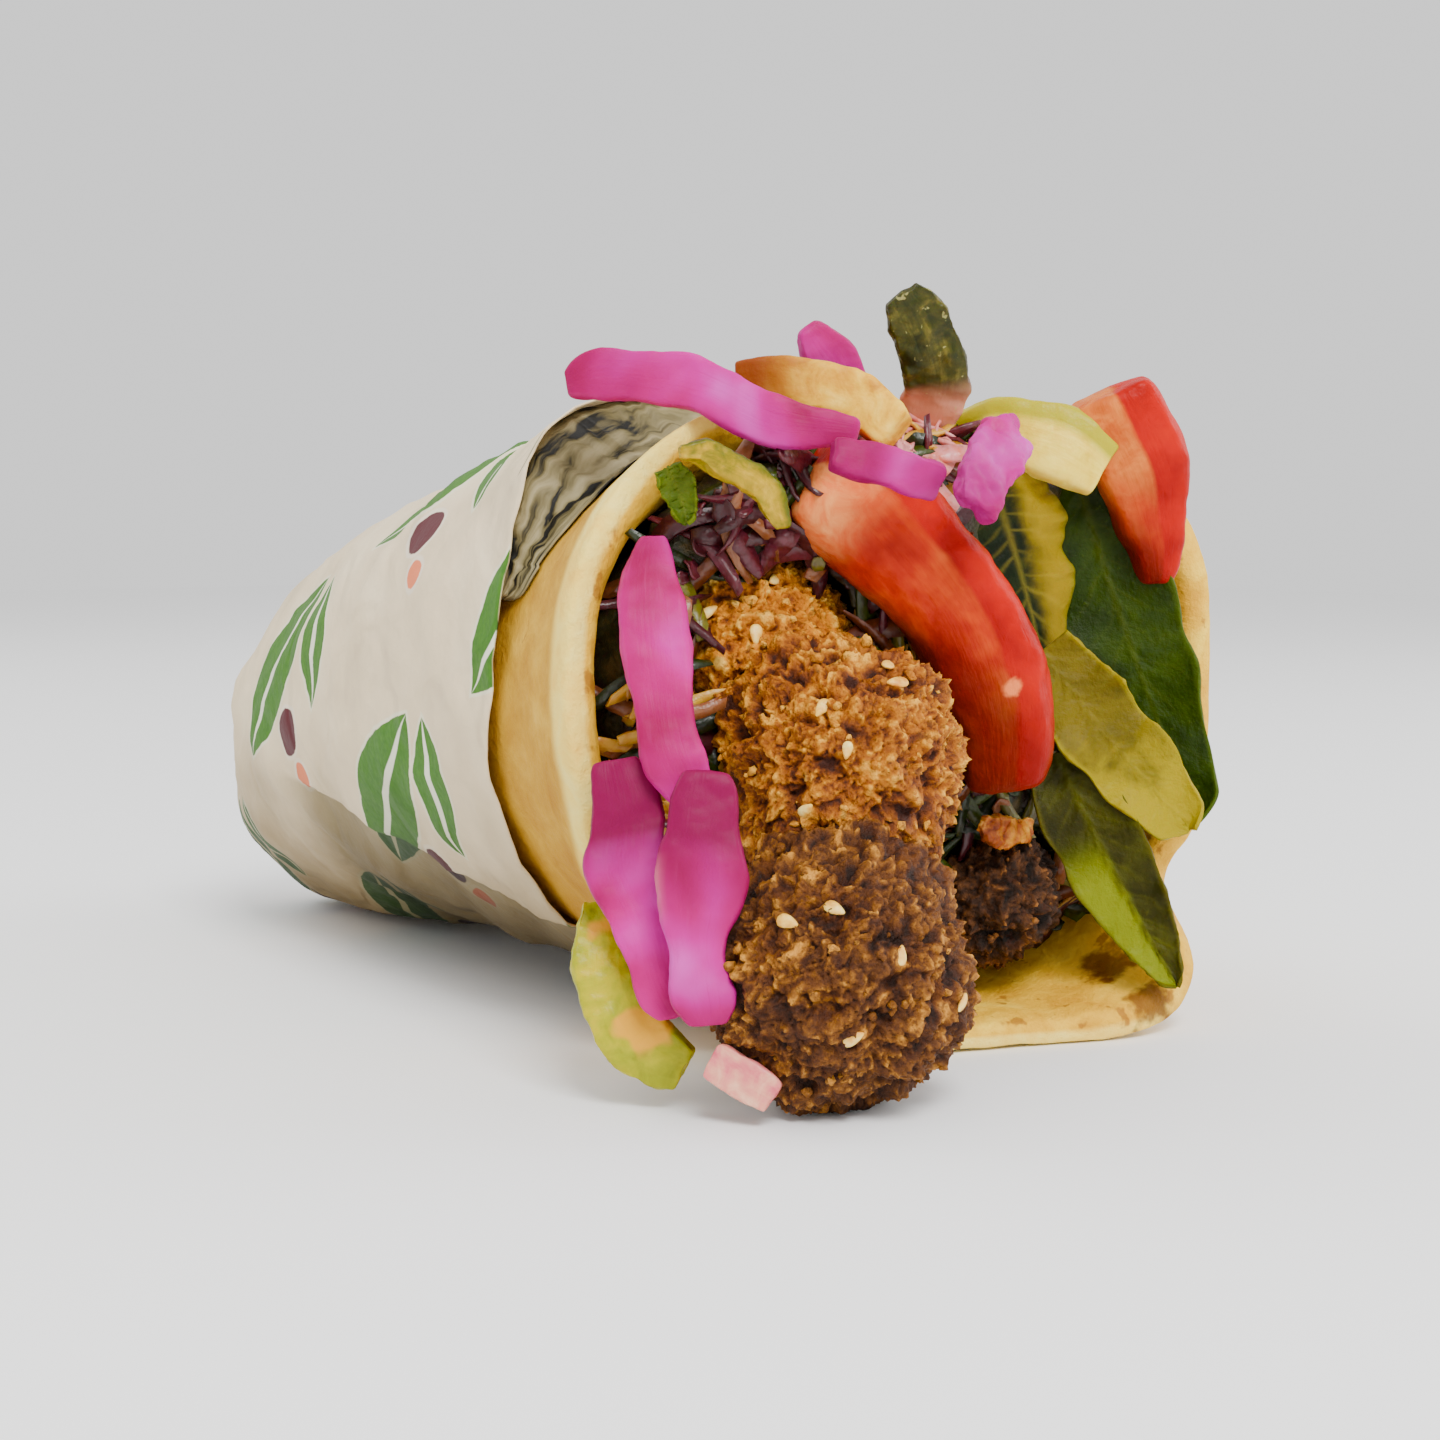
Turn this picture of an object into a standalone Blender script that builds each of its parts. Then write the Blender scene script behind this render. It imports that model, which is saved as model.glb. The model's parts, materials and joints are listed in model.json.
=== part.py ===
# Falafel sandwich: a flatbread wrap in printed paper, lying on its side with its open mouth to the front.
# Metres, +Z up. The origin is on the table under the middle of the sandwich; the wrap runs along Y,
# mouth towards -Y. Lengths below are in millimetres, measured from the middle of the mouth.

import math

import bmesh
import bpy
import numpy as np
from mathutils import Vector, noise

MM = 0.001
GAP = 0.35            # air left between neighbouring pieces
MOUTH_X = 1.76        # where the middle of the mouth stands from the origin
MOUTH_Y = -61.6

# The wrap's outside: distance behind the mouth, half width, bottom, top
STATIONS = (
    (-24, 53.2, -3.0, 90.0),
    (0, 53.2, -2.6, 91.0),
    (30, 50.5, 0.4, 88.0),
    (70, 46.5, 2.2, 82.0),
    (105, 41.5, 1.4, 75.0),
    (135, 36.0, -1.4, 62.0),
    (152, 27.0, -2.0, 44.0),
    (161, 15.0, 3.0, 22.0),
)
ROUND_TOP = 2.7       # squareness of the section: upper half, lower left and lower right corners
ROUND_LEFT = 1.9
ROUND_RIGHT = 3.3

BREAD_WALL = 6.0
BREAD_OUTSIDE = ((146, 14), (144, 4), (138, 0), (112, 0), (84, 0), (52, 0), (20, 0))   # distance, inset
RIM_ROUNDING = ((1.6, 0.1), (0.2, 0.9), (0.0, 3.4), (0.8, 4.9), (2.8, 5.8))            # behind the rim, inset
MOUTH_DEPTH = 8.0     # the wall is at its full thickness from here on
HOLLOW_DEPTHS = (20, 52, 84, 112, 136)
RIM_MEAN = -3.0       # the bread's rim: mean place, how far its right side leads, and its lower lip
RIM_SLANT = 7.5
LIP_REACH = 14.0
LIP_ANGLE = math.radians(-65)
TEAR_DEPTH = 7.0
TEAR_ANGLE = math.radians(-30)
TEAR_WIDTH = 0.13
SAG_DEPTH = 6.0       # the lower left corner of the rim stands back under the filling
SAG_ANGLE = math.radians(-140)
PUSH_DEPTH = 17.0     # and so does its top, where the filling is heaped over it
PUSH_ANGLE = math.radians(82)
PINCH_DEPTH = 8.0     # below the tear the lip is pulled inwards
PINCH_ANGLE = math.radians(-27)
POCKET = 5.0          # the bread draws away from the paper's flared corner

PAPER_THICK = 0.6
PAPER_GAP = 0.5
PAPER_EDGE = 29.0     # the paper's front edge stands this far behind the mouth
PAPER_HEEL = 161.0
HEEL_THICK = 3.0      # the folded end of the paper
PAPER_DEPTHS = (0.0, 0.08, 0.2, 0.34, 0.5, 0.66, 0.8, 0.9, 0.96, 1.0)
FLARE = 6.0           # how far the paper's upper left corner stands off the bread
FLARE_ANGLE = math.radians(122)
CREASE = 1.1

CORE_FRONT = 4.0      # the packed salad: its front, how far that is heaped forward or dished back
HEAP_TOP = 8.0
HEAP_RIGHT = 5.0
DISH = 6.0
CORE_RINGS = (0.35, 0.68, 0.92)
CORE_SHOULDER = 6.0
CORE_GAP = 1.2
CORE_BACK = 133.0
SOCKET = 3.2          # how much wider than a ball the hollow is that it leaves in the salad

LUMP = 0.10           # falafel relief: broad lumps as a share of the radius, crags in mm
CRAG = 1.3
SEED_LENGTH = 3.2
SEED_WIDTH = 2.0
SEED_THICK = 1.0


def place(x, y, z, floor=0.0):
    return Vector(((x + MOUTH_X) * MM, (y + MOUTH_Y) * MM, max(z, floor) * MM))


def clear_scene():
    for thing in list(bpy.data.objects):
        bpy.data.objects.remove(thing, do_unlink=True)


def finish(name, colour, roughness):
    material = bpy.data.materials.new(name)
    material.use_nodes = True
    shader = material.node_tree.nodes["Principled BSDF"]
    shader.inputs["Base Color"].default_value = (*colour, 1.0)
    shader.inputs["Roughness"].default_value = roughness
    shader.inputs["Metallic"].default_value = 0.0
    material.diffuse_color = (*colour, 1.0)
    return material


def add_object(name, bm, material):
    bmesh.ops.triangulate(bm, faces=bm.faces[:])
    mesh = bpy.data.meshes.new(name)
    bm.to_mesh(mesh)
    bm.free()
    mesh.materials.append(material)
    mesh.shade_smooth()
    thing = bpy.data.objects.new(name, mesh)
    bpy.context.scene.collection.objects.link(thing)
    return thing


# Shapes that all the pieces share

def skin(rings):
    # A closed body from rings of equal length, its two ends fanned to their middles
    bm = bmesh.new()
    loops = [[bm.verts.new(p) for p in ring] for ring in rings]
    count = len(loops[0])
    for near, far in zip(loops, loops[1:]):
        for i in range(count):
            j = (i + 1) % count
            bm.faces.new((near[i], near[j], far[j], far[i]))
    for loop, turn in ((loops[0], -1), (loops[-1], 1)):
        middle = bm.verts.new(sum((v.co for v in loop), Vector()) / count)
        for i in range(count):
            bm.faces.new((loop[i], loop[(i + 1) % count], middle)[::turn])
    bmesh.ops.recalc_face_normals(bm, faces=bm.faces[:])
    return bm


def smooth_path(points, count):
    # Points at even parameters on a curve through the given ones
    p = np.array(points, float)
    slope = np.gradient(p, axis=0)
    path = []
    for u in np.linspace(0, len(p) - 1, count):
        i = min(int(u), len(p) - 2)
        f = u - i
        path.append((1 + 2 * f) * (1 - f) ** 2 * p[i] + f * (1 - f) ** 2 * slope[i]
                    + f * f * (3 - 2 * f) * p[i + 1] + f * f * (f - 1) * slope[i + 1])
    return np.array(path)


def frames(path, facing):
    # Along, sideways and outward directions at each point of a path whose flat side looks at facing
    along = np.gradient(path, axis=0)
    along /= np.linalg.norm(along, axis=1)[:, None]
    side = np.cross(np.array(facing, float), along)
    side /= np.linalg.norm(side, axis=1)[:, None]
    return along, side, np.cross(along, side)


def strip(points, width, thick, facing, grow=0.0, rings=9, sides=8, taper=0.7, square=3.0, twist=0.0, slim=1.0):
    # A cut stick or slice: an oblong section carried along a curve, its ends a little smaller;
    # slim is the width at its far end as a share of that at its near one
    path = smooth_path(points, rings)
    along, side, out = frames(path, facing)
    path[0] -= along[0] * grow
    path[-1] += along[-1] * grow
    hoops = []
    for k in range(rings):
        share = k / (rings - 1)
        end = 1 - (1 - taper) * abs(2 * share - 1) ** 5
        turn = twist * (share - 0.5)
        hoop = []
        for t in np.arange(sides) * 2 * math.pi / sides + math.pi / sides:
            c, s = math.cos(t), math.sin(t)
            a = (width / 2 * end * (1 + (slim - 1) * share) + grow) * math.copysign(abs(c) ** (2 / square), c)
            b = (thick / 2 * end + grow) * math.copysign(abs(s) ** (2 / square), s)
            across = a * math.cos(turn) - b * math.sin(turn)
            rise = a * math.sin(turn) + b * math.cos(turn)
            hoop.append(place(*(path[k] + side[k] * across + out[k] * rise)))
        hoops.append(hoop)
    return skin(hoops)


def leaf(points, width, facing, grow=0.0, thick=0.9, cup=1.5, wave=1.2, waves=3.0, rows=9, cols=6, tip=0.5):
    # A thin wavy leaf round a rib, narrowing to its tip: both faces carry the same grid
    path = smooth_path(points, rows)
    along, side, out = frames(path, facing)
    path[0] -= along[0] * grow
    path[-1] += along[-1] * grow
    half = thick / 2 + grow
    faces = []
    for lift in (half, -half):
        grid = []
        for k in range(rows):
            share = k / (rows - 1)
            belly = 0.45 + 0.55 * math.sin(math.pi * (0.1 + 0.8 * share)) ** 0.8
            reach = width / 2 * belly * (1 - (1 - tip) * share ** 2) + grow
            row = []
            for v in np.linspace(-1, 1, cols):
                ruffle = wave * v * v * math.sin(2 * math.pi * waves * share + 1.7 * np.sign(v))
                rise = cup * v * v + ruffle + lift
                row.append(place(*(path[k] + side[k] * reach * v + out[k] * rise)))
            grid.append(row)
        faces.append(grid)
    bm = bmesh.new()
    upper, lower = [[[bm.verts.new(p) for p in row] for row in grid] for grid in faces]
    for k in range(rows - 1):
        for i in range(cols - 1):
            for sheet, turn in ((upper, 1), (lower, -1)):
                a, b, c, d = sheet[k][i], sheet[k][i + 1], sheet[k + 1][i + 1], sheet[k + 1][i]
                bm.faces.new((a, b, c)[::turn])
                bm.faces.new((a, c, d)[::turn])
    rim_top = border(upper)
    rim_low = border(lower)
    for i in range(len(rim_top)):
        j = (i + 1) % len(rim_top)
        bm.faces.new((rim_top[j], rim_top[i], rim_low[i], rim_low[j]))
    bmesh.ops.recalc_face_normals(bm, faces=bm.faces[:])
    return bm


def border(grid):
    right = [row[-1] for row in grid]
    left = [row[0] for row in grid]
    return grid[0][:-1] + right[:-1] + grid[-1][:0:-1] + left[:0:-1]


def crag_height(direction, seed, grow, radii):
    # How far the surface of a rough fried ball stands from its middle
    shift = Vector((seed * 3.1, seed * 1.7, seed * 5.3))
    lump = noise.noise(direction * 1.5 + shift) * LUMP
    crag = noise.noise(direction * 4.2 + shift) + 0.7 * noise.noise(direction * 8.5 - shift)
    base = 1 / math.sqrt(sum((d / r) ** 2 for d, r in zip(direction, radii)))
    return base * (1 + lump) + CRAG * crag + grow


def rough_ball(middle, radii, seed, grow=0.0, detail=4):
    bm = bmesh.new()
    bmesh.ops.create_icosphere(bm, subdivisions=detail, radius=1.0)
    for v in bm.verts:
        direction = v.co.normalized()
        height = crag_height(direction, seed, grow, radii)
        v.co = place(*(Vector(middle) + direction * height))
    return bm


def look(azimuth, elevation):
    # A direction out of a piece: azimuth 0 looks to the front, more turns to the left
    a, e = math.radians(azimuth), math.radians(elevation)
    return Vector((-math.sin(a) * math.cos(e), -math.cos(a) * math.cos(e), math.sin(e)))


def sesame(middle, radii, seed, azimuth, elevation, turn):
    # A flat drop-shaped seed lying on a ball
    out = look(azimuth, elevation)
    foot = Vector(middle) + out * (crag_height(out, seed, 0.0, radii) + SEED_THICK * 0.15)
    side = out.cross(Vector((math.cos(turn), 0.2, math.sin(turn)))).normalized()
    along = side.cross(out)
    bm = bmesh.new()
    bmesh.ops.create_uvsphere(bm, u_segments=6, v_segments=4, radius=0.5)
    for v in bm.verts:
        drop = 1 - 0.35 * v.co.z
        v.co = place(*(foot + along * v.co.z * SEED_LENGTH + side * v.co.x * SEED_WIDTH * drop
                       + out * v.co.y * SEED_THICK))
    return bm


# The wrap's own outline

def section(y, t, inset):
    rows = np.array(STATIONS)
    half, low, high = (np.interp(y, rows[:, 0], rows[:, k]) for k in (1, 2, 3))
    c, s = math.cos(t), math.sin(t)
    low_corner = ROUND_RIGHT if c > 0 else ROUND_LEFT
    power = 2 / (ROUND_TOP if s > 0 else low_corner)
    x = (half - inset) * math.copysign(abs(c) ** power, c)
    z = (low + high) / 2 + ((high - low) / 2 - inset) * math.copysign(abs(s) ** power, s)
    return x, z


def turned(t, middle):
    return math.atan2(math.sin(t - middle), math.cos(t - middle))


def bump(t, middle, width):
    return math.exp(-(turned(t, middle) / width) ** 2)


def rim_y(t):
    # Where the bread's torn rim stands; t turns from +X up over the top
    ripple = 0.9 * math.sin(5 * t + 1.0) + 0.6 * math.sin(11 * t)
    return (RIM_MEAN - RIM_SLANT * math.cos(t) + ripple - LIP_REACH * bump(t, LIP_ANGLE, 0.55)
            + TEAR_DEPTH * bump(t, TEAR_ANGLE, TEAR_WIDTH) + SAG_DEPTH * bump(t, SAG_ANGLE, 0.4)
            + PUSH_DEPTH * bump(t, PUSH_ANGLE, 0.6))


def angles(count):
    return np.arange(count) * 2 * math.pi / count


def bread_swell(y, t):
    # Soft dents of the flatbread, shared by its outer and inner sides
    return 0.7 * math.sin(3 * t + y / 23) + 0.4 * math.sin(7 * t - y / 17)


def ramp(y, start, end):
    return float(np.clip((y - start) / (end - start), 0, 1))


def draw_in(y, t):
    # How far the bread stands inside the wrap's outline: under the paper, at the pocket and at the pinch
    room = 0.6 + (PAPER_THICK + PAPER_GAP + 1.6) * ramp(y, 6, 20)
    pocket = POCKET * bump(t, FLARE_ANGLE, 0.5) * ramp(y, 4, 20) * ramp(y, 110, 50)
    pinch = PINCH_DEPTH * bump(t, PINCH_ANGLE, 0.32) * ramp(y, 6, -14)
    return room + pocket + pinch - bread_swell(y, t)


def bread(count=40):
    # Up the outside to the rounded rim and back down the inside
    rings = []
    for y, inset in BREAD_OUTSIDE:
        rings.append([bread_point(y, t, inset) for t in angles(count)])
    for back, inset in RIM_ROUNDING:
        rings.append([bread_point(rim_y(t) + back, t, inset) for t in angles(count)])
    rings.append([bread_point(max(MOUTH_DEPTH, rim_y(t) + 5.0), t, BREAD_WALL) for t in angles(count)])
    for y in HOLLOW_DEPTHS:
        rings.append([bread_point(y, t, BREAD_WALL) for t in angles(count)])
    return skin(rings)


def bread_point(y, t, inset):
    x, z = section(y, t, draw_in(y, t) + inset)
    under = (PAPER_THICK + GAP) * ramp(y, 6, 16)
    return place(x, y, z, under + 0.8 * max(inset - 0.9, 0.0))


def paper_edge(t):
    # The front edge leans forward over the top and back along the bottom
    return PAPER_EDGE + 1.5 * math.cos(t) - 2.5 * math.sin(t) + 0.8 * math.sin(6 * t)


def part_way(t, depth, heel):
    return paper_edge(t) + depth * (heel - paper_edge(t))


def paper_lift(y, t):
    # Creases and the flared upper corner, always outward
    ridge = abs(math.sin(4.5 * t + y / 31)) ** 3 + 0.7 * abs(math.sin(3 * t - y / 19 + 0.6)) ** 5
    flare = FLARE * bump(t, FLARE_ANGLE, 0.42) * ramp(y, 62, 28) ** 2
    return CREASE * ridge * (0.35 + 0.65 * ramp(y, 0, 120)) + flare


def paper_point(y, t, inset):
    x, z = section(y, t, inset + CREASE - paper_lift(y, t))
    return place(x, y, z, inset)


def paper(count=38):
    # From the closed heel forward on the outside, over the front edge and back on the inside
    rings = []
    for depth in PAPER_DEPTHS[::-1]:
        rings.append([paper_point(part_way(t, depth, PAPER_HEEL), t, 0.0) for t in angles(count)])
    for depth in PAPER_DEPTHS[:-1]:
        rings.append([paper_point(part_way(t, depth, PAPER_HEEL - HEEL_THICK), t, PAPER_THICK)
                      for t in angles(count)])
    return skin(rings)


def core_front(t, reach):
    # The packed salad's front, uneven, slanted like the rim and heaped forward at the top and right
    rough = 1.2 * math.sin(3 * t + 5 * reach) + 0.9 * math.sin(7 * t - 4 * reach)
    heap = HEAP_TOP * bump(t, math.radians(85), 0.62) + HEAP_RIGHT * bump(t, math.radians(-5), 0.7)
    return CORE_FRONT - 3.0 * math.cos(t) * reach + (rough - heap) * reach - DISH * (1 - reach ** 2)


def core(count=28):
    rings = []
    for reach in CORE_RINGS:
        rings.append([core_point(core_front(t, reach), t, reach) for t in angles(count)])
    rings.append([core_point(core_front(t, 1.0) + CORE_SHOULDER, t, 1.0) for t in angles(count)])
    for y in (*HOLLOW_DEPTHS[:-1], CORE_BACK):
        rings.append([core_point(y, t, 1.0) for t in angles(count)])
    return skin(rings)


def core_point(y, t, reach):
    x, z = section(y, t, BREAD_WALL + CORE_GAP + draw_in(y, t))
    middle = section(y, math.pi / 2, 0)[1] / 2
    return place(x * reach, y, middle + (z - middle) * reach)


def shreds(seed=4, count=10):
    # Cabbage and lettuce shreds lying half sunk in the salad's front
    rng = np.random.default_rng(seed)
    bodies = []
    for k in range(count):
        t = 2 * math.pi * (k + rng.uniform(-0.2, 0.2)) / count
        reach = (0.55, 0.78, 0.3)[k % 3]
        y = core_front(t, reach) - 0.5
        x, z = section(y, t, BREAD_WALL + 6.0)
        middle = section(y, math.pi / 2, 0)[1] / 2
        spot = np.array((x * reach, y, middle + (z - middle) * reach))
        turn = t + math.pi / 2 + rng.uniform(-0.5, 0.5)
        half = rng.uniform(6.0, 9.0)
        run = np.array((math.cos(turn), 0.0, math.sin(turn))) * half
        bow = np.array((-math.sin(turn), 0.0, math.cos(turn))) * rng.uniform(-2.5, 2.5)
        points = [spot - run, spot + bow, spot + run]
        bodies.append(strip(points, rng.uniform(2.6, 3.8), 1.9, (0, -1, 0), rings=5, sides=6, taper=0.6))
    return bodies


# Pieces that show in the mouth: where each lies and how large it is

FALAFELS = {
    "falafel_1": ((-19.5, 11.0, 54.4), (14.0, 14.0, 13.0), 2.0),
    "falafel_2": ((-18.6, -10.0, 40.0), (14.6, 14.6, 15.6), 5.0),
    "falafel_3": ((-29.8, -21.8, 15.4), (15.6, 15.6, 15.9), 9.0),
    "falafel_4": ((16.2, 1.0, 18.2), (10.6, 10.2, 9.2), 13.0),
}
SEEDS = {
    "falafel_1": ((8, 45, 0.3), (50, 26, 2.0)),
    "falafel_2": ((55, 30, 0.4), (20, 8, 1.9), (-20, 25, 1.0)),
    "falafel_3": ((42, 46, 0.2), (53, -12, 0.1), (10, 20, 1.4), (-25, -5, 2.2)),
}

TO_VIEWER = (-0.6, -0.8, 0.1)
TOMATOES = {
    "tomato_wedge_1": dict(points=((-19, -2, 76.8), (-9.6, -5.4, 71.3), (0.1, -9.2, 60.8), (6, -11.7, 47.6),
                                   (7, -12.7, 35.2)),
                           width=16.5, thick=11, taper=0.55, twist=0.35, rings=12, sides=12, square=2.5),
    "tomato_wedge_2": dict(points=((27.0, -11, 88.6), (31.8, -12, 78.8), (34.8, -12, 70.4), (35.6, -11.5, 62.2)),
                           width=16, thick=8, taper=0.6, twist=-0.3, rings=10, sides=10, square=2.8, slim=0.5),
}
STICKS = {
    "turnip_strip_1": dict(points=((-43.0, 17, 88.4), (-39.0, 13, 90.0), (-32.8, 5, 88.4), (-27.5, -4, 84.0),
                                   (-18.6, -11.5, 82)),
                           width=7.6, thick=3.2, rings=11),
    "turnip_strip_2": dict(points=((-14.0, 4, 96.4), (-9.6, 4, 91.8), (-6.0, 5.5, 86), (-4.0, 9, 77)),
                           width=6.6, thick=3.4, rings=7),
    "turnip_strip_3": dict(points=((-26, -15.5, 79.2), (-18.4, -18.5, 77.4), (-12.2, -20.2, 75.6)),
                           width=5.2, thick=2.8, rings=7, twist=0.8),
    "turnip_strip_4": dict(points=((-10.6, -24.6, 72.6), (-6.6, -23, 77), (-0.4, -19.5, 81.4), (4.6, -15.5, 81.2)),
                           width=7.2, thick=3.0, rings=8, twist=-0.9),
    "turnip_strip_5": dict(points=((-41.6, 0.5, 69), (-45.4, -5, 57), (-46.4, -9.5, 45), (-44.4, -13, 36)),
                           width=8.2, thick=3.4, rings=10),
    "turnip_strip_6": dict(points=((-50.6, -3.6, 42), (-50.8, -7, 31), (-50.4, -11, 20), (-49.0, -14.5, 12)),
                           width=8.4, thick=3.0, rings=9),
    "turnip_strip_7": dict(points=((-46.6, -17, 38.6), (-48.0, -18, 30), (-48.8, -19, 20.5), (-49.2, -21, 11.8)),
                           width=8.2, thick=3.0, rings=9),
    "onion_piece": dict(points=((-47.6, -19.5, 7.4), (-45.8, -22, 6), (-43.0, -26, 3.2)),
                        width=5.0, thick=2.0, rings=6),
    "pickled_pepper": dict(points=((-50.6, -1.5, 24.5), (-52.4, -4.5, 15.8), (-50.6, -8.5, 8.2), (-46.5, -13, 5.0)),
                           width=8.0, thick=2.6, rings=10, twist=0.4),
    "fried_potato": dict(points=((-23.0, 7.5, 88.6), (-18.2, 2.0, 88.6), (-12.6, -4.0, 86.6), (-10.4, -10.0, 82.4)),
                         width=6.6, thick=4.6, rings=9, square=2.6),
    "cucumber_stick": dict(points=((-40.8, -4.5, 79.4), (-36.6, -6.0, 78.8), (-31.0, -8, 75.2), (-28.6, -9, 70)),
                           width=4.2, thick=3.0, rings=8),
    "lettuce_rib": dict(points=((18.0, 8, 80.4), (16.4, 0, 83.4), (20.4, -7.0, 81.8), (25.4, -12.0, 77.6)),
                        width=9.8, thick=4.6, rings=9, taper=0.6, sides=10),
    "pepper_strip": dict(points=((-3.8, -3, 100.6), (1.4, -2.6, 94.6), (5.6, 0.5, 87), (6.5, 12, 76)),
                         width=8.6, thick=2.2, rings=9, taper=0.6),
    "tahini_cabbage": dict(points=((5.6, -9, 30.4), (11, -8, 28.8), (17.5, -6.5, 28.6)),
                           width=4.2, thick=2.2, rings=6),
}
LEAVES = {
    "lettuce_leaf_1": dict(points=((28.6, -3.5, 77), (31.4, -8, 61), (35.0, -12, 46), (39.6, -17, 29)),
                           width=18.0, facing=(-0.75, -0.6, 0.15), cup=1.4, wave=1.1, tip=0.6),
    "lettuce_leaf_2": dict(points=((10.5, -3.5, 77), (14.0, -5, 65), (18, -6.5, 50)),
                           width=14.0, facing=(-0.3, -0.95, 0.0), cup=-1.2, wave=0.7),
    "lettuce_leaf_3": dict(points=((17.5, -8, 53), (24.0, -14, 42), (33.0, -21.5, 28.5)),
                           width=10.5, facing=(-0.62, -0.75, 0.2), cup=1.0, wave=0.6),
    "lettuce_leaf_4": dict(points=((20.4, -8.5, 39), (23.2, -13.5, 27.5), (27.4, -18, 16), (30.6, -22, 7.2)),
                           width=14.0, facing=(-0.75, -0.62, 0.1), cup=1.3, wave=0.9, tip=0.3),
    "herb_leaf": dict(points=((-40.2, -1, 77.6), (-38.8, -1.5, 74.4), (-38.0, -2, 70.6)),
                      width=5.0, facing=TO_VIEWER, cup=0.5, wave=0.3, rows=6, cols=4),
}


# Which pieces lie pressed against which: the first is cut back round the others
PRESSED_BY = {
    "falafel_1": ("falafel_2", "turnip_strip_5"),
    "falafel_2": ("falafel_3", "tomato_wedge_1"),
    "falafel_3": ("turnip_strip_7", "onion_piece"),
    "falafel_4": ("tahini_cabbage",),
    "tomato_wedge_1": ("turnip_strip_1", "turnip_strip_3", "turnip_strip_4"),
    "lettuce_rib": ("tomato_wedge_2", "pepper_strip", "lettuce_leaf_2"),
    "lettuce_leaf_1": ("tomato_wedge_2", "lettuce_rib"),
    "lettuce_leaf_4": ("lettuce_leaf_3",),
}


def piece(name, grow=0.0):
    # The raw body of any piece in the mouth, swollen by grow
    if name in FALAFELS:
        middle, radii, seed = FALAFELS[name]
        return rough_ball(middle, radii, seed, grow, 3 if name == "falafel_4" else 4)
    if name in LEAVES:
        return leaf(grow=grow, **LEAVES[name])
    if name in TOMATOES:
        return strip(facing=TO_VIEWER, grow=grow, **TOMATOES[name])
    return strip(facing=TO_VIEWER, grow=grow, **STICKS[name])


# Fusing and cutting

def boolean(target, other, operation):
    modifier = target.modifiers.new("cut", "BOOLEAN")
    modifier.operation = operation
    modifier.solver = "EXACT"
    if isinstance(other, bpy.types.Collection):
        modifier.operand_type = "COLLECTION"
        modifier.collection = other
    else:
        modifier.object = other
    bpy.context.view_layer.update()
    result = bpy.data.meshes.new_from_object(target.evaluated_get(bpy.context.evaluated_depsgraph_get()))
    target.modifiers.remove(modifier)
    target.data = result


def remove(things):
    for thing in things:
        bpy.data.objects.remove(thing, do_unlink=True)


def fuse(target, bodies):
    # One union with a collection of small bodies, which is then removed
    extras = bpy.data.collections.new("extras")
    bpy.context.scene.collection.children.link(extras)
    material = target.data.materials[0]
    parts = []
    for k, bm in enumerate(bodies):
        part = add_object("extra_%d" % k, bm, material)
        bpy.context.scene.collection.objects.unlink(part)
        extras.objects.link(part)
        parts.append(part)
    boolean(target, extras, "UNION")
    remove(parts)
    bpy.data.collections.remove(extras)


def socket(name):
    # The room that a piece takes up in the salad: a plain hollow for a ball, else its own shape
    if name not in FALAFELS:
        return piece(name, GAP)
    middle, radii, seed = FALAFELS[name]
    bm = bmesh.new()
    bmesh.ops.create_icosphere(bm, subdivisions=2, radius=1.0)
    for v in bm.verts:
        v.co = place(*(m + d * (r + SOCKET) for m, d, r in zip(middle, v.co, radii)))
    return bm


def cut_round(target, names, room=None):
    # Leave a gap in target round each named piece
    for name in names:
        body = room(name) if room else piece(name, GAP)
        cutter = add_object("cutter", body, target.data.materials[0])
        boolean(target, cutter, "DIFFERENCE")
        remove([cutter])


def keep_largest(target):
    # Drop loose scraps and slivers left by cutting
    bm = bmesh.new()
    bm.from_mesh(target.data)
    bmesh.ops.remove_doubles(bm, verts=bm.verts[:], dist=2e-7)
    bmesh.ops.dissolve_degenerate(bm, edges=bm.edges[:], dist=2e-7)
    groups = []
    seen = set()
    for start in bm.verts:
        if start in seen:
            continue
        group = []
        queue = [start]
        seen.add(start)
        while queue:
            v = queue.pop()
            group.append(v)
            for edge in v.link_edges:
                other = edge.other_vert(v)
                if other not in seen:
                    seen.add(other)
                    queue.append(other)
        groups.append(group)
    groups.sort(key=len)
    for group in groups[:-1]:
        bmesh.ops.delete(bm, geom=group, context="VERTS")
    bmesh.ops.triangulate(bm, faces=bm.faces[:])
    bm.to_mesh(target.data)
    bm.free()
    target.data.shade_smooth()


# The sub-parts

def make_falafels(crust):
    for name in FALAFELS:
        ball = add_object(name, piece(name), crust)
        middle, radii, seed = FALAFELS[name]
        seeds = [sesame(middle, radii, seed, *spot) for spot in SEEDS.get(name, ())]
        if seeds:
            fuse(ball, seeds)
        cut_round(ball, PRESSED_BY[name])
        keep_largest(ball)


def make_tomatoes(flesh):
    for name in TOMATOES:
        add_fitted(name, flesh)


def make_sticks(finishes):
    for name in STICKS:
        add_fitted(name, finishes[name.rstrip("_0123456789")])


def make_leaves(green):
    for name in LEAVES:
        add_fitted(name, green)


def add_fitted(name, material):
    thing = add_object(name, piece(name), material)
    if name in PRESSED_BY:
        cut_round(thing, PRESSED_BY[name])
        keep_largest(thing)


def make_salad(green):
    salad = add_object("salad_core", core(), green)
    fuse(salad, shreds())
    cut_round(salad, (*FALAFELS, *TOMATOES, *STICKS, *LEAVES), socket)
    keep_largest(salad)


def make_bread(dough):
    add_object("bread", bread(), dough)


def make_paper(sheet):
    add_object("paper_wrap", paper(), sheet)


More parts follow.
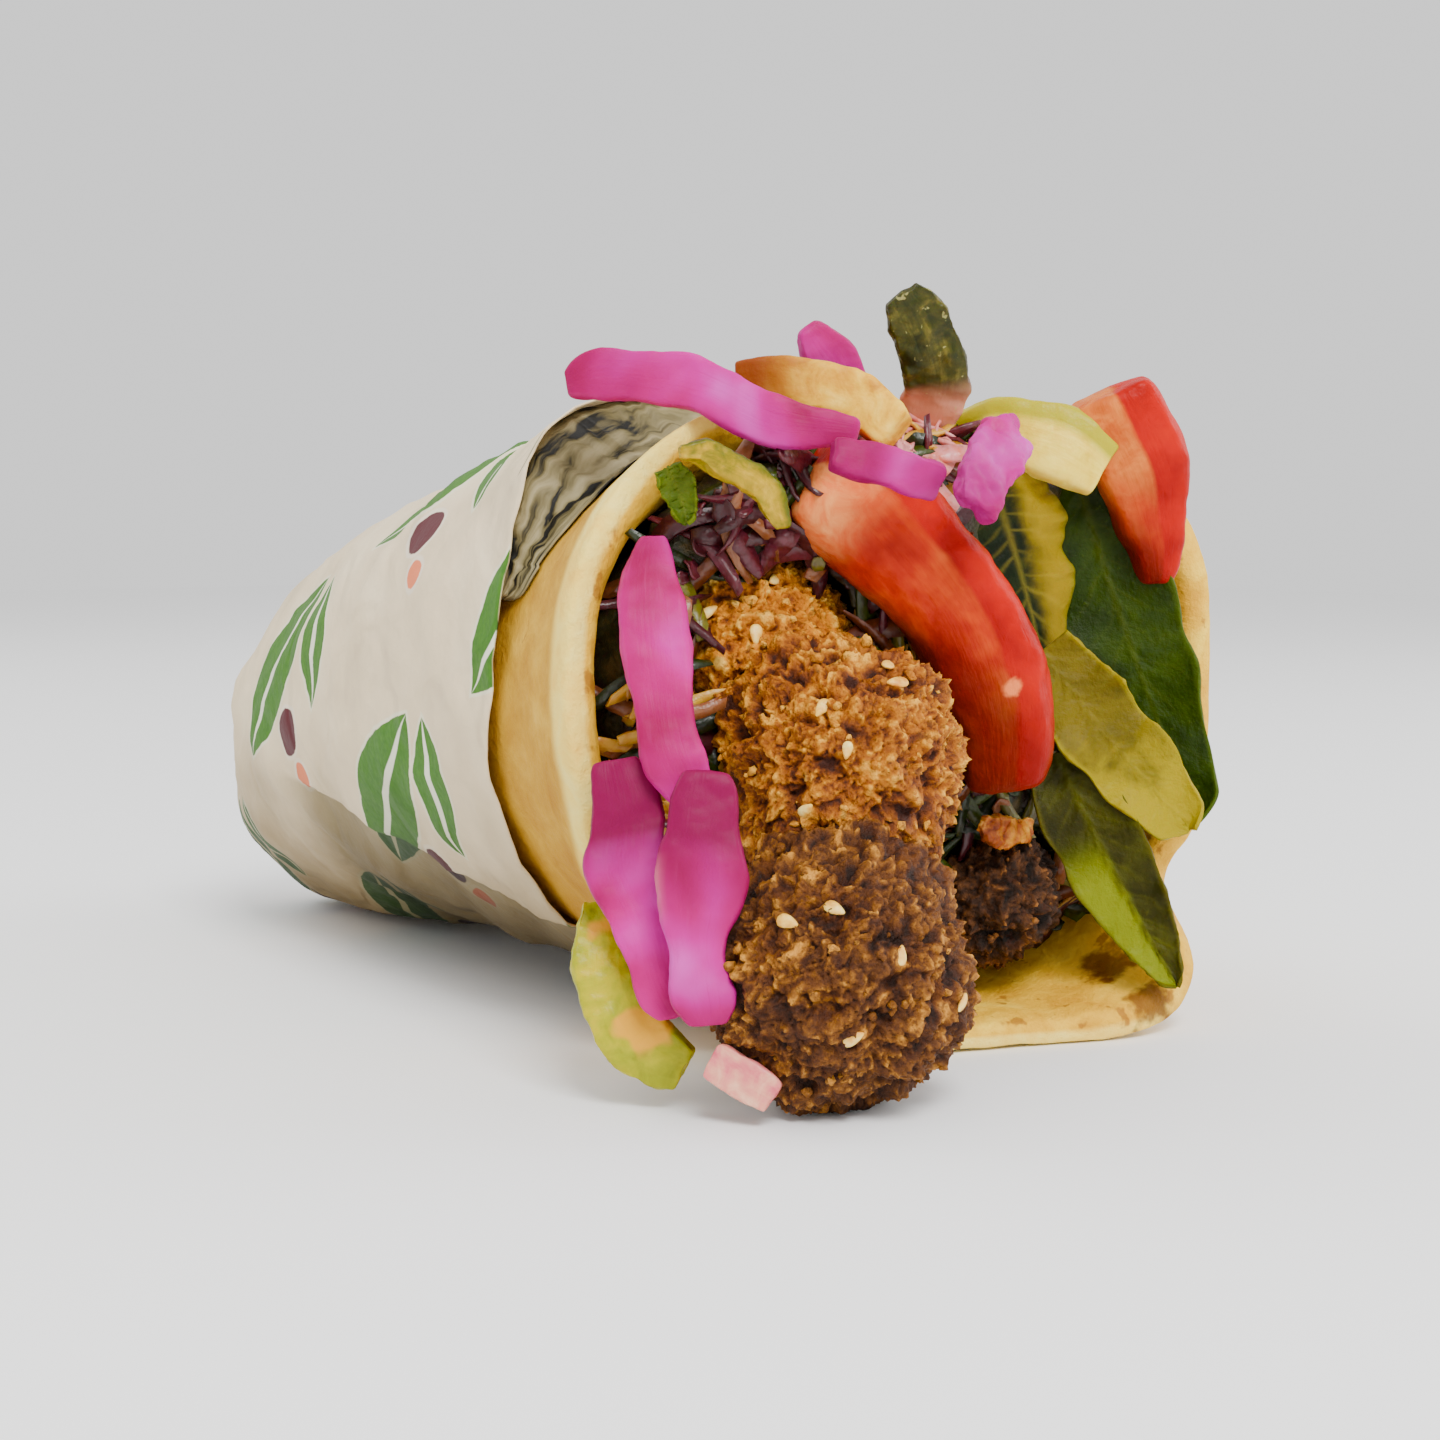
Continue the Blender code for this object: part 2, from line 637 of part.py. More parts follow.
def main():
    clear_scene()
    make_falafels(finish("falafel_crust", (0.42, 0.20, 0.06), 0.75))
    make_tomatoes(finish("tomato_flesh", (0.72, 0.10, 0.05), 0.35))
    make_sticks({
        "turnip_strip": finish("pink_turnip", (0.72, 0.13, 0.42), 0.4),
        "onion_piece": finish("pink_onion", (0.85, 0.45, 0.58), 0.4),
        "pickled_pepper": finish("pepper_yellow", (0.62, 0.66, 0.08), 0.4),
        "fried_potato": finish("potato_gold", (0.82, 0.50, 0.16), 0.55),
        "cucumber_stick": finish("cucumber_green", (0.50, 0.56, 0.16), 0.45),
        "lettuce_rib": finish("rib_white", (0.82, 0.82, 0.50), 0.45),
        "pepper_strip": finish("pepper_green", (0.14, 0.20, 0.04), 0.45),
        "tahini_cabbage": finish("cabbage_cream", (0.80, 0.66, 0.42), 0.5),
    })
    make_leaves(finish("lettuce_green", (0.12, 0.26, 0.04), 0.45))
    make_salad(finish("salad_mix", (0.20, 0.14, 0.06), 0.6))
    make_bread(finish("flatbread", (0.80, 0.60, 0.30), 0.8))
    make_paper(finish("wrapping_paper", (0.84, 0.82, 0.76), 0.85))


main()
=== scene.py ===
import json
import math

import bmesh
import bpy
import numpy as np
from mathutils import Matrix, Vector, noise
from mathutils.bvhtree import BVHTree

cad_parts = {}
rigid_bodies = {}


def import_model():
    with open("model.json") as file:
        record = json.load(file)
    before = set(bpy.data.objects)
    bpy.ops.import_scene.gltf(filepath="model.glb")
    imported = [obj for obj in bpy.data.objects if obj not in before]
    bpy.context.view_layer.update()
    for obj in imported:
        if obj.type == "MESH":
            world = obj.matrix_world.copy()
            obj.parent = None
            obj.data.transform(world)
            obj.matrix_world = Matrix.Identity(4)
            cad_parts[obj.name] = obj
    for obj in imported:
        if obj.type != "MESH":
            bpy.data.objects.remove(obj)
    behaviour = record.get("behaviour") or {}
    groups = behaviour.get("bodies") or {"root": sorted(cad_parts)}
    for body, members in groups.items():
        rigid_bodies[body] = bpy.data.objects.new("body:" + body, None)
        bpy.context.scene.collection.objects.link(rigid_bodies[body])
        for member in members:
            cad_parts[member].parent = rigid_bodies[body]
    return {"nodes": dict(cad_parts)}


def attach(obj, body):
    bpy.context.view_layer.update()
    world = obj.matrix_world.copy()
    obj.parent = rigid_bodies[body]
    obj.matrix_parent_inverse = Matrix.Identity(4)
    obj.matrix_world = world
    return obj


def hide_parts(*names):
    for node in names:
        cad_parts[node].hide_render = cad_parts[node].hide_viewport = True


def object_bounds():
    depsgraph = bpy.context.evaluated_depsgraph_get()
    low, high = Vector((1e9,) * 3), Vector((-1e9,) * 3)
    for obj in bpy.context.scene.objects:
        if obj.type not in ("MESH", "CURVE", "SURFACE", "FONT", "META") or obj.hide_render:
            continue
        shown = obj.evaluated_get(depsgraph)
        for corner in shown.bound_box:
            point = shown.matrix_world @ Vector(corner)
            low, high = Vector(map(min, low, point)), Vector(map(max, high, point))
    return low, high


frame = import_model()
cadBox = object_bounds()
print("frame loaded:", len(frame["nodes"]), "nodes")

# Lengths are in mm from the middle of the sandwich's mouth: X right, Y back, Z up

mm = 0.001
mouth = Vector((1.76, -61.6, 0.0))
noise.seed_set(7)      # noise_vector is seeded from the clock otherwise


def spot(x, y, z):
    return (Vector((x, y, z)) + mouth) * mm


def fromMouth(points):
    return (points + np.array(mouth)) * mm


def behindMouth(points):
    return points[:, 1] / mm - mouth.y


def onFloor(points, low=0.0):
    points[:, 2] = np.maximum(points[:, 2], low)
    return points


# The noise at each place that runs of numbers, or single ones, give together
def noiseAt(*runs):
    return np.array([noise.noise(Vector(place)) for place in np.broadcast(*runs)])


# An sRGB colour, 0 to 255, as the linear one that a shader takes
def paint(red, green, blue):
    linear = []
    for value in (red, green, blue):
        value /= 255
        linear.append(value / 12.92 if value <= 0.04045 else ((value + 0.055) / 1.055) ** 2.4)
    return (*linear, 1.0)


# What an operator that adds a mesh has made, under a name of its own
def modelled(addMesh, name, **settings):
    bpy.ops.object.select_all(action="DESELECT")
    addMesh(**settings)
    bpy.context.object.name = name
    return bpy.context.object


def block(name, *sides):
    piece = modelled(bpy.ops.mesh.primitive_cube_add, name, size=1, scale=sides)
    bpy.ops.object.transform_apply(location=False, rotation=False, scale=True)
    return piece


# Camera, floor and light

studio = dict(
    azimuth=37, pitch=5, lens=60, stand=(-214.96, -243.63, 72.30),
    floorShade=0.94, keyWatts=10.0, fillWatts=4.5, backWatts=4.0, skyStrength=1.1,
)


def makeCamera():
    turn, pitch = math.radians(studio["azimuth"]), math.radians(studio["pitch"])
    ahead = Vector((math.sin(turn) * math.cos(pitch), math.cos(turn) * math.cos(pitch), -math.sin(pitch)))
    right = Vector((math.cos(turn), -math.sin(turn), 0))
    camera = bpy.data.objects.new("camera", bpy.data.cameras.new("camera"))
    camera.data.lens = studio["lens"]
    camera.data.clip_start = 0.01
    pose = Matrix((right, right.cross(ahead), -ahead)).transposed().to_4x4()
    pose.translation = spot(*studio["stand"])
    camera.matrix_world = pose
    bpy.context.scene.collection.objects.link(camera)
    bpy.context.scene.camera = camera


def makeStudio():
    floor = modelled(bpy.ops.mesh.primitive_grid_add, "studioFloor", size=3.0, x_subdivisions=4,
                     y_subdivisions=4, location=(0, 0.3, -0.0003))
    cloth = bpy.data.materials.new("studioFloor")
    cloth.use_nodes = True
    shader = cloth.node_tree.nodes["Principled BSDF"]
    shader.inputs["Base Color"].default_value = (*[studio["floorShade"]] * 3, 1)
    shader.inputs["Roughness"].default_value = 0.9
    floor.data.materials.append(cloth)
    for name, watts, size, stand in (
            ("keyLight", studio["keyWatts"], 0.35, (-0.24, -0.66, 0.72)),
            ("fillLight", studio["fillWatts"], 0.6, (0.82, -0.36, 0.42)),
            ("backLight", studio["backWatts"], 0.6, (-0.35, 0.75, 0.75))):
        lamp = bpy.data.objects.new(name, bpy.data.lights.new(name, "AREA"))
        lamp.data.energy = watts
        lamp.data.size = size
        lamp.location = stand
        lamp.rotation_euler = (Vector(stand) - Vector((0, -0.03, 0.04))).to_track_quat("Z", "Y").to_euler()
        bpy.context.scene.collection.objects.link(lamp)
    sky = bpy.data.worlds.new("studioSky")
    sky.use_nodes = True
    sky.node_tree.nodes["Background"].inputs["Color"].default_value = (1, 1, 1, 1)
    sky.node_tree.nodes["Background"].inputs["Strength"].default_value = studio["skyStrength"]
    bpy.context.scene.world = sky


makeCamera()
makeStudio()
print("camera and studio ready")


# Working on a piece

def onlySelect(piece):
    bpy.ops.object.select_all(action="DESELECT")
    piece.select_set(True)
    bpy.context.view_layer.objects.active = piece


def editMode():
    bpy.ops.object.mode_set(mode="EDIT")


def objectMode():
    bpy.ops.object.mode_set(mode="OBJECT")


def selectEdges(piece, wanted):
    cage = bmesh.from_edit_mesh(piece.data)
    for edge in cage.edges:
        edge.select = bool(wanted(edge.verts[0].co, edge.verts[1].co))
    bmesh.update_edit_mesh(piece.data)


def applied(piece, kind, **settings):
    onlySelect(piece)
    modifier = piece.modifiers.new(kind, kind)
    for key, value in settings.items():
        setattr(modifier, key, value)
    bpy.ops.object.modifier_apply(modifier=modifier.name)


def subdivided(piece, levels):
    applied(piece, "SUBSURF", levels=levels, render_levels=levels)


# Soft lumps of the given size and height, in mm
def unevened(piece, size, height, kind="CLOUDS"):
    lumps = bpy.data.textures.new("lumps", kind)
    lumps.noise_scale = size * mm
    applied(piece, "DISPLACE", texture=lumps, texture_coords="LOCAL", strength=height * mm, mid_level=0.5)


def readPoints(piece):
    flat = np.empty(len(piece.data.vertices) * 3)
    piece.data.vertices.foreach_get("co", flat)
    return flat.reshape(-1, 3)


def writePoints(piece, points):
    piece.data.vertices.foreach_set("co", np.asarray(points, float).ravel())
    piece.data.update()


def readNormals(piece):
    flat = np.empty(len(piece.data.vertices) * 3)
    piece.data.vertex_normals.foreach_get("vector", flat)
    return flat.reshape(-1, 3)


# How far each point's surface looks away from a line along Y at that height in mm: 1 outward, -1 inward
def outwardness(piece, height):
    points = readPoints(piece)
    middle = np.column_stack((points[:, 0] - mouth.x * mm, np.zeros(len(points)), points[:, 2] - height * mm))
    return np.einsum("ij,ij->i", readNormals(piece), middle / np.linalg.norm(middle, axis=1)[:, None])


def treeOf(name):
    return BVHTree.FromObject(bpy.data.objects[name], bpy.context.evaluated_depsgraph_get())


# One number, or one vector, kept at each vertex for the finish to read
def mark(piece, name, values):
    values = np.asarray(values, float)
    if values.ndim == 1:
        piece.data.attributes.new(name, "FLOAT", "POINT").data.foreach_set("value", values)
    else:
        piece.data.attributes.new(name, "FLOAT_VECTOR", "POINT").data.foreach_set("vector", values.ravel())


def keptPoints(piece, name):
    flat = np.empty(len(piece.data.vertices) * 3)
    piece.data.attributes[name].data.foreach_get("vector", flat)
    return flat.reshape(-1, 3)


def finished(piece, finish, slot, *nodes):
    writePoints(piece, np.clip(readPoints(piece), *cadBox))
    onlySelect(piece)
    bpy.ops.object.shade_smooth()
    piece.data.materials.clear()
    piece.data.materials.append(finish)
    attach(piece, "root")
    if nodes:
        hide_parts(*nodes)


# A node's mesh as a new piece, merged and back in quads
def copyOfNode(node, name):
    piece = bpy.data.objects.new(name, frame["nodes"][node].data.copy())
    bpy.context.scene.collection.objects.link(piece)
    onlySelect(piece)
    editMode()
    bpy.ops.mesh.select_all(action="SELECT")
    bpy.ops.mesh.remove_doubles(threshold=1e-6)
    bpy.ops.mesh.tris_convert_to_quads(face_threshold=0.9, shape_threshold=3.1)
    objectMode()
    return piece


# Bending a straight piece onto its curve

def curveAt(points, share):
    p = np.array(points, float)
    slope = np.gradient(p, axis=0)
    u = np.clip(share, 0, 1) * (len(p) - 1)
    i = np.minimum(u.astype(int), len(p) - 2)
    f = (u - i)[:, None]
    place = ((1 + 2 * f) * (1 - f) ** 2 * p[i] + f * (1 - f) ** 2 * slope[i]
             + f * f * (3 - 2 * f) * p[i + 1] + f * f * (f - 1) * slope[i + 1])
    past = (np.asarray(share) - np.clip(share, 0, 1))[:, None]
    return place + past * (len(p) - 1) * np.where(past > 0, slope[-1], slope[0])


def curveFrames(points, share, facing):
    along = curveAt(points, share + 0.01) - curveAt(points, share - 0.01)
    along /= np.linalg.norm(along, axis=1)[:, None]
    side = np.cross(np.array(facing, float), along)
    side /= np.linalg.norm(side, axis=1)[:, None]
    return curveAt(points, share), side, np.cross(along, side)


def curveLength(points):
    steps = np.diff(curveAt(points, np.linspace(0, 1, 60)), axis=0)
    return np.linalg.norm(steps, axis=1).sum()


# Lays a piece that stands straight on Z, in metres, along a curve given in mm
def bend(piece, v, length):
    straight = readPoints(piece) / mm
    mark(piece, "straight", straight)
    wide, thick, share = straight[:, 0], straight[:, 1], straight[:, 2] / length + 0.5
    place, side, out = curveFrames(v["points"], share, v["facing"])
    end = 1 - (1 - v["taper"]) * np.abs(np.clip(2 * share - 1, -1, 1)) ** 5
    wander = noiseAt(3.7 * share, np.copysign(4.0, wide), length)
    a = wide * end * (1 + (v["slim"] - 1) * share) * (1 + 2 * v["ragged"] * wander)
    middle, reach, rise = v["crest"]
    b = thick * end + rise * np.clip(1 - np.abs(wide - middle) / reach, 0, 1) * (thick > 0)
    turn = v["twist"] * (share - 0.5)
    across = a * np.cos(turn) - b * np.sin(turn)
    rise = a * np.sin(turn) + b * np.cos(turn)
    writePoints(piece, onFloor(fromMouth(place + side * across[:, None] + out * rise[:, None])))


# A cut stick, standing on Z about the origin
def straightStick(name, v, length):
    piece = block(name, v["width"] * mm, v["thick"] * mm, length * mm)
    tall = length * mm
    editMode()
    bpy.ops.mesh.select_mode(type="EDGE")
    selectEdges(piece, lambda a, b: abs(a.z - b.z) > 0.9 * tall)
    bpy.ops.mesh.bevel(offset=v["corner"] * mm, segments=2, profile=0.6)
    selectEdges(piece, lambda a, b: abs(a.z - b.z) < 0.01 * tall)
    bpy.ops.mesh.bevel(offset=v["ends"] * mm, segments=2, profile=0.6)
    selectEdges(piece, lambda a, b: abs(a.z - b.z) > 0.5 * tall)
    bpy.ops.mesh.subdivide(number_cuts=int(length / v["step"]))
    objectMode()
    return piece


toViewer = (-0.6, -0.8, 0.1)
plainStick = dict(                     # what a stick has unless its own values say otherwise
    corner=0.7, ends=0.6, step=2.2, levels=3,      # rounded edges, the cage's step along it, subdivisions
    facing=toViewer, twist=0.0,
    taper=0.85, slim=1.0, ragged=0.1,              # its width at the ends, at the last end, and how uneven
    crest=(0, 1, 0),                               # a ridge on its face: where across, half its width, height
    lumps=((6, 0.9), (1.6, 0.25)),                 # size and height
    deep=(0.1, 0.1),                               # how dark it is at its first end and at its last
    slit=(-99, 0, 1),                              # a pale edge: how far across, from where to where
)


def bentStick(name, v):
    length = curveLength(v["points"])
    piece = straightStick(name, v, length)
    bend(piece, v, length)
    subdivided(piece, v["levels"])
    for size, height in v["lumps"]:
        unevened(piece, size, height)
    return piece


# Finishes: newFinish starts one and gives its place, coated ends it, and what runs in between adds to it

making = {}


def newFinish(name, **sockets):
    finish = bpy.data.materials.new(name)
    finish.use_nodes = True
    making.update(finish=finish, tree=finish.node_tree, shader=finish.node_tree.nodes["Principled BSDF"])
    for key, value in sockets.items():
        making["shader"].inputs[key.replace("_", " ")].default_value = value
    return objectPlace()


def add(kind, inputs=None, **settings):
    node = making["tree"].nodes.new("ShaderNode" + kind)
    for key, value in settings.items():
        setattr(node, key, value)
    for key, value in (inputs or {}).items():
        if isinstance(value, bpy.types.NodeSocket):
            making["tree"].links.new(value, node.inputs[key])
        else:
            node.inputs[key].default_value = value
    return node


def scaled(vector, scale):
    return add("Mapping", {"Vector": vector, "Scale": scale}).outputs["Vector"]


def axes(vector):
    return tuple(add("SeparateXYZ", {"Vector": vector}).outputs)


def objectPlace(stretch=(1, 1, 1)):
    return scaled(add("TexCoord").outputs["Object"], stretch)


def kept(name, part="Fac"):
    return add("Attribute", attribute_name=name).outputs[part]


# Noise whose blotches are about size mm across
def speckle(place, size, detail=3.0, rough=0.55, warp=0.0):
    return add("TexNoise", {"Vector": place, "Scale": 1 / (size * mm), "Detail": detail, "Roughness": rough,
                            "Distortion": warp}).outputs["Fac"]


# Noise drawn out along a place in mm that is scaled by grain
def streaked(place, grain, detail=4.0, rough=0.5, warp=0.0):
    return speckle(scaled(place, grain), 1 / mm, detail, rough, warp)


# Each stop is where it lies and its red, green and blue
def ramp(factor, *stops):
    node = add("ValToRGB", {"Fac": factor})
    for k, (place, *colour) in enumerate(stops):
        element = node.color_ramp.elements[k] if k < 2 else node.color_ramp.elements.new(place)
        element.position = place
        element.color = paint(*colour)
    return node.outputs["Color"]


# From 0 at low to most at high
def level(factor, low, high, most=1.0):
    return add("MapRange", {"Value": factor, "From Min": low, "From Max": high, "To Max": most},
               interpolation_type="SMOOTHSTEP").outputs["Result"]


def mixed(factor, under, over, way="MIX"):
    under, over = (paint(*colour) if isinstance(colour, tuple) else colour for colour in (under, over))
    node = add("Mix", {0: factor, 6: under, 7: over}, data_type="RGBA", blend_type=way, clamp_result=True)
    return node.outputs[2]


def maths(way, a, b=0.0, c=0.0):
    return add("Math", {0: a, 1: b, 2: c}, operation=way).outputs[0]


def plus(a, b):
    return maths("ADD", a, b)


def minus(a, b):
    return maths("SUBTRACT", a, b)


def times(a, b):
    return maths("MULTIPLY", a, b)


# How far each point lies from a spot, in m, with a wandering edge
def apartFrom(place, middle, size, detail, wander):
    apart = add("VectorMath", {0: place, 1: spot(*middle)}, operation="DISTANCE").outputs["Value"]
    return plus(apart, times(speckle(place, size, detail), wander * mm))


# Ends a finish with its colour and bumps on bumps: pairs of a height and its depth in mm
def coated(colour, *layers):
    shader, links, normal = making["shader"], making["tree"].links, None
    links.new(colour, shader.inputs["Base Color"])
    for height, depth in layers:
        node = add("Bump", {"Height": height, "Strength": 1.0, "Distance": depth * mm})
        if normal:
            links.new(normal, node.inputs["Normal"])
        normal = node.outputs["Normal"]
    links.new(normal, shader.inputs["Normal"])
    return making["finish"]


# One mesh of many small copies of a modelled shape, each with its own tint
def scattered(name, count, points, faces, placeOne, tints):
    allPoints, allFaces, allTints = [], [], []
    for k in range(count):
        moved = placeOne(k, points)
        if moved is None:
            continue
        start = len(allPoints) * len(points)
        allPoints.append(moved)
        allFaces += [tuple(i + start for i in face) for face in faces]
        allTints.append(np.full(len(points), tints(k)))
    mesh = bpy.data.meshes.new(name)
    mesh.from_pydata(np.concatenate(allPoints).tolist(), [], allFaces)
    piece = bpy.data.objects.new(name, mesh)
    bpy.context.scene.collection.objects.link(piece)
    mark(piece, "tint", np.concatenate(allTints))
    return piece


# A modelled shape's points and faces, and the shape itself put away
def shapeOf(piece):
    points = readPoints(piece)
    faces = [tuple(f.vertices) for f in piece.data.polygons]
    bpy.data.objects.remove(piece, do_unlink=True)
    return points, faces


# A frame whose Z is out, turned by spin
def turnTo(out, spin):
    out = Vector(out).normalized()
    side = out.orthogonal().normalized()
    side.rotate(Matrix.Rotation(spin, 3, out))
    return np.array((side, out.cross(side), out)).T


# Falafel

falafel = dict(
    balls=dict(
        # falafel_1's toast below zero paints light onto its crust
        falafel_1=dict(middle=(-19.5, 11.0, 54.4), radii=(14.0, 14.0, 13.0), seed=2.0, toast=-0.10, level=7,
                       joins=((-18.6, -10.0, 40.0),)),
        falafel_2=dict(middle=(-18.6, -10.0, 40.0), radii=(14.6, 14.6, 15.6), seed=5.0, toast=0.22, level=7,
                       joins=((-29.8, -21.8, 15.4), (-19.5, 11.0, 54.4))),
        falafel_3=dict(middle=(-29.8, -21.8, 15.4), radii=(15.6, 15.6, 15.9), seed=9.0, toast=0.62, level=7,
                       joins=((-18.6, -10.0, 40.0),)),
        falafel_4=dict(middle=(16.2, 1.0, 18.2), radii=(10.6, 10.2, 9.2), seed=13.0, toast=0.98, level=6,
                       joins=()),
    ),
    lump=0.10, crag=1.3,               # the broad relief that the solids have too
    crumbs=((3.4, 0.5), (1.8, 0.5), (0.95, 0.34)),     # size and height of the clinging crumbs
    pits=0.5, neck=2.6,                # how far touching balls grow together
    looseCrumbs=110,
    sesame=dict(
        falafel_1=((8, 45), (56, 20), (30, 8)),
        falafel_2=((55, 34), (40, 12), (58, -14), (5, 46), (-6, 62), (30, -22)),
        falafel_3=((42, 44), (33, -16), (66, 34), (10, 20), (-25, -5)),
    ),
)


def lookOut(azimuth, elevation):
    a, e = math.radians(azimuth), math.radians(elevation)
    return Vector((-math.sin(a) * math.cos(e), -math.cos(a) * math.cos(e), math.sin(e)))


def broadHeight(direction, v):
    shift = Vector((v["seed"] * 3.1, v["seed"] * 1.7, v["seed"] * 5.3))
    lump = noise.noise(direction * 1.5 + shift) * falafel["lump"]
    crag = noise.noise(direction * 4.2 + shift) + 0.7 * noise.noise(direction * 8.5 - shift)
    base = 1 / math.sqrt(sum((d / r) ** 2 for d, r in zip(direction, v["radii"])))
    for other in v["joins"]:
        apart = direction.angle(Vector(other) - Vector(v["middle"]))
        base += falafel["neck"] * math.exp(-((apart - 0.62) / 0.26) ** 2) * (1 + lump * 4)
    return base * (1 + lump) + falafel["crag"] * crag


# The broad relief with crumbs and pits on it: height, how proud it stands, and its crumb's tint
def crustHeight(direction, v):
    broad = broadHeight(direction, v)
    place = direction * broad + Vector((v["seed"] * 11, 0, 0))
    place = place + noise.noise_vector(place * 0.5) * 0.9
    fine, tint = 0.0, 0.0
    for size, rise in falafel["crumbs"]:
        distances, cells = noise.voronoi(place / size)
        share = min((distances[1] - distances[0]) * 1.9, 1.0)
        own = noise.cell(cells[0] * 7.7)
        tilt = (Vector(cells[0]) - place / size).dot(Vector((own - 0.5, 0.5 - own * own, 0.4 - own)))
        fine += rise * ((share ** 0.6 - 0.5) * (0.3 + own) + 0.9 * tilt)
        tint = 0.5 * tint + own
    fine -= falafel["pits"] * max(noise.noise(place * 0.32) - 0.12, 0) * 4
    fine += 0.25 * noise.noise(place * 2.6)
    return broad + fine, fine, tint / 1.75


def crustFinish():
    place = newFinish("falafelCrust", Roughness=0.6, Specular_IOR_Level=0.25)
    proud, crumb, toast = kept("proud"), kept("tint"), kept("toast")
    blotch = speckle(place, 5.0, 4.0, 0.6, 0.4)
    fine = speckle(place, 0.7, 3.0, 0.7)
    height = times(proud, 0.55)
    for part, share in ((fine, 0.40), (crumb, 0.20), (blotch, 0.30)):
        height = plus(height, times(part, share))
    # the ramps run dark where the crust lies low and light where it stands proud: painted shade in its
    # hollows and painted highlights on its crumbs, mixed with its own mottling
    bright = ramp(height, (0.26, 84, 32, 0), (0.44, 160, 84, 0), (0.58, 206, 122, 2),
                  (0.72, 232, 150, 14), (0.90, 255, 206, 90))
    golden = ramp(height, (0.26, 54, 17, 0), (0.44, 108, 49, 0), (0.58, 154, 82, 0),
                  (0.72, 188, 114, 4), (0.90, 242, 176, 58))
    dark = ramp(height, (0.26, 32, 11, 0), (0.46, 62, 27, 0), (0.62, 88, 46, 3),
                (0.76, 126, 74, 10), (0.92, 204, 138, 48))
    black = ramp(height, (0.28, 20, 8, 0), (0.55, 48, 24, 4), (0.78, 90, 50, 14), (0.94, 166, 104, 40))
    colour = golden
    # toast below zero mixes in the painted-light crust; higher values darken it through the dark and black
    # crusts
    for low, high, shade in ((0.02, -0.16, bright), (0.15, 0.7, dark), (0.72, 1.0, black)):
        colour = mixed(level(toast, low, high), colour, shade)
    colour = mixed(level(speckle(place, 1.5, 3.0, 0.65), 0.44, 0.34, 0.6), colour, (58, 22, 2))
    return coated(colour, (fine, 0.5), (speckle(place, 0.3, 2.0, 0.7), 0.18))


def seedFinish():
    place = newFinish("sesameCream", Roughness=0.42, Subsurface_Weight=0.15, Subsurface_Scale=0.001)
    colour = ramp(speckle(place, 1.6), (0.3, 210, 136, 30), (0.5, 246, 192, 80), (0.7, 255, 226, 140))
    return coated(colour, (speckle(place, 0.4), 0.08))


def makeBall(node, v, finish):
    ball = modelled(bpy.ops.mesh.primitive_ico_sphere_add, "friedBall" + node[-1], subdivisions=v["level"],
                    radius=1.0)
    points, proud, tints, toasts = [], [], [], []
    for vertex in ball.data.vertices:
        direction = vertex.co.normalized()
        height, fine, tint = crustHeight(direction, v)
        place = spot(*(Vector(v["middle"]) + direction * height))
        place.z = max(place.z, 0.0)
        points.append(place)
        proud.append(fine / 1.6 + 0.5)
        tints.append(tint)
        # darker underneath: painted shade added to the toast on each ball's lower half
        toasts.append(v["toast"] + 0.22 * max(-direction.z, 0) + 0.12 * noise.noise(direction * 2.2))
    writePoints(ball, points)
    mark(ball, "proud", proud)
    mark(ball, "tint", tints)
    mark(ball, "toast", toasts)
    finished(ball, finish, "falafel_crust", node)


def crumbShape():
    return shapeOf(modelled(bpy.ops.mesh.primitive_ico_sphere_add, "crumb", subdivisions=2, radius=1.0))


def seedShape():
    seed = modelled(bpy.ops.mesh.primitive_uv_sphere_add, "seed", segments=12, ring_count=8, radius=1.0)
    editMode()
    bpy.ops.mesh.select_all(action="SELECT")
    bpy.ops.transform.resize(value=(0.86, 0.42, 1.55))
    objectMode()
    points, faces = shapeOf(seed)
    points[:, 0] *= 1 - 0.28 * points[:, 2]
    return points[:, (0, 2, 1)], [face[::-1] for face in faces]


def makeCrumbs(node, v, finish, shape):
    rng = np.random.default_rng(int(v["seed"] * 10))
    middle = np.array(v["middle"])

    def one(k, points):
        direction = Vector(rng.normal(size=3)).normalized()
        height = crustHeight(direction, v)[0]
        size = rng.uniform(0.25, 0.7) * (1.4 if rng.random() < 0.1 else 1)
        turned = points * rng.uniform(0.6, 1.2, (1, 3)) * size
        turned = turned * (1 + 0.22 * rng.normal(size=(len(points), 1)))
        turned = turned @ turnTo(direction, rng.uniform(0, 6.28)).T
        place = fromMouth(middle + np.array(direction) * (height + 0.15 * size) + turned)
        return place if place[:, 2].min() > 0 else None

    crumbs = scattered("looseCrumbs" + node[-1], falafel["looseCrumbs"], *shape, one,
                       lambda k: rng.uniform(0, 1))
    count = len(crumbs.data.vertices)
    mark(crumbs, "proud", np.full(count, 0.6))
    mark(crumbs, "toast", np.full(count, v["toast"]))
    finished(crumbs, finish, "falafel_crust")


def makeSeeds(finish, shape):
    rng = np.random.default_rng(6)
    places = [(node, a, e) for node, spots in falafel["sesame"].items() for a, e in spots]

    def one(k, points):
        node, azimuth, elevation = places[k]
        v = falafel["balls"][node]
        direction = lookOut(azimuth, elevation)
        grown = points * rng.uniform(0.72, 0.98)
        tilted = direction + Vector(rng.normal(size=3)) * 0.18
        turned = grown @ turnTo(tilted, rng.uniform(0, 6.28)).T
        place = np.array(v["middle"]) + np.array(direction) * (crustHeight(direction, v)[0] + 0.25) + turned
        return fromMouth(place)

    seeds = scattered("sesameSeeds", len(places), *shape, one, lambda k: rng.uniform(0, 1))
    finished(seeds, finish, "falafel_crust")


crust = crustFinish()
crumb = crumbShape()
for node, v in falafel["balls"].items():
    makeBall(node, v, crust)
    makeCrumbs(node, v, crust, crumb)
makeSeeds(seedFinish(), seedShape())
print("falafel made")


# The wrap's own outline, shared by bread, paper and salad

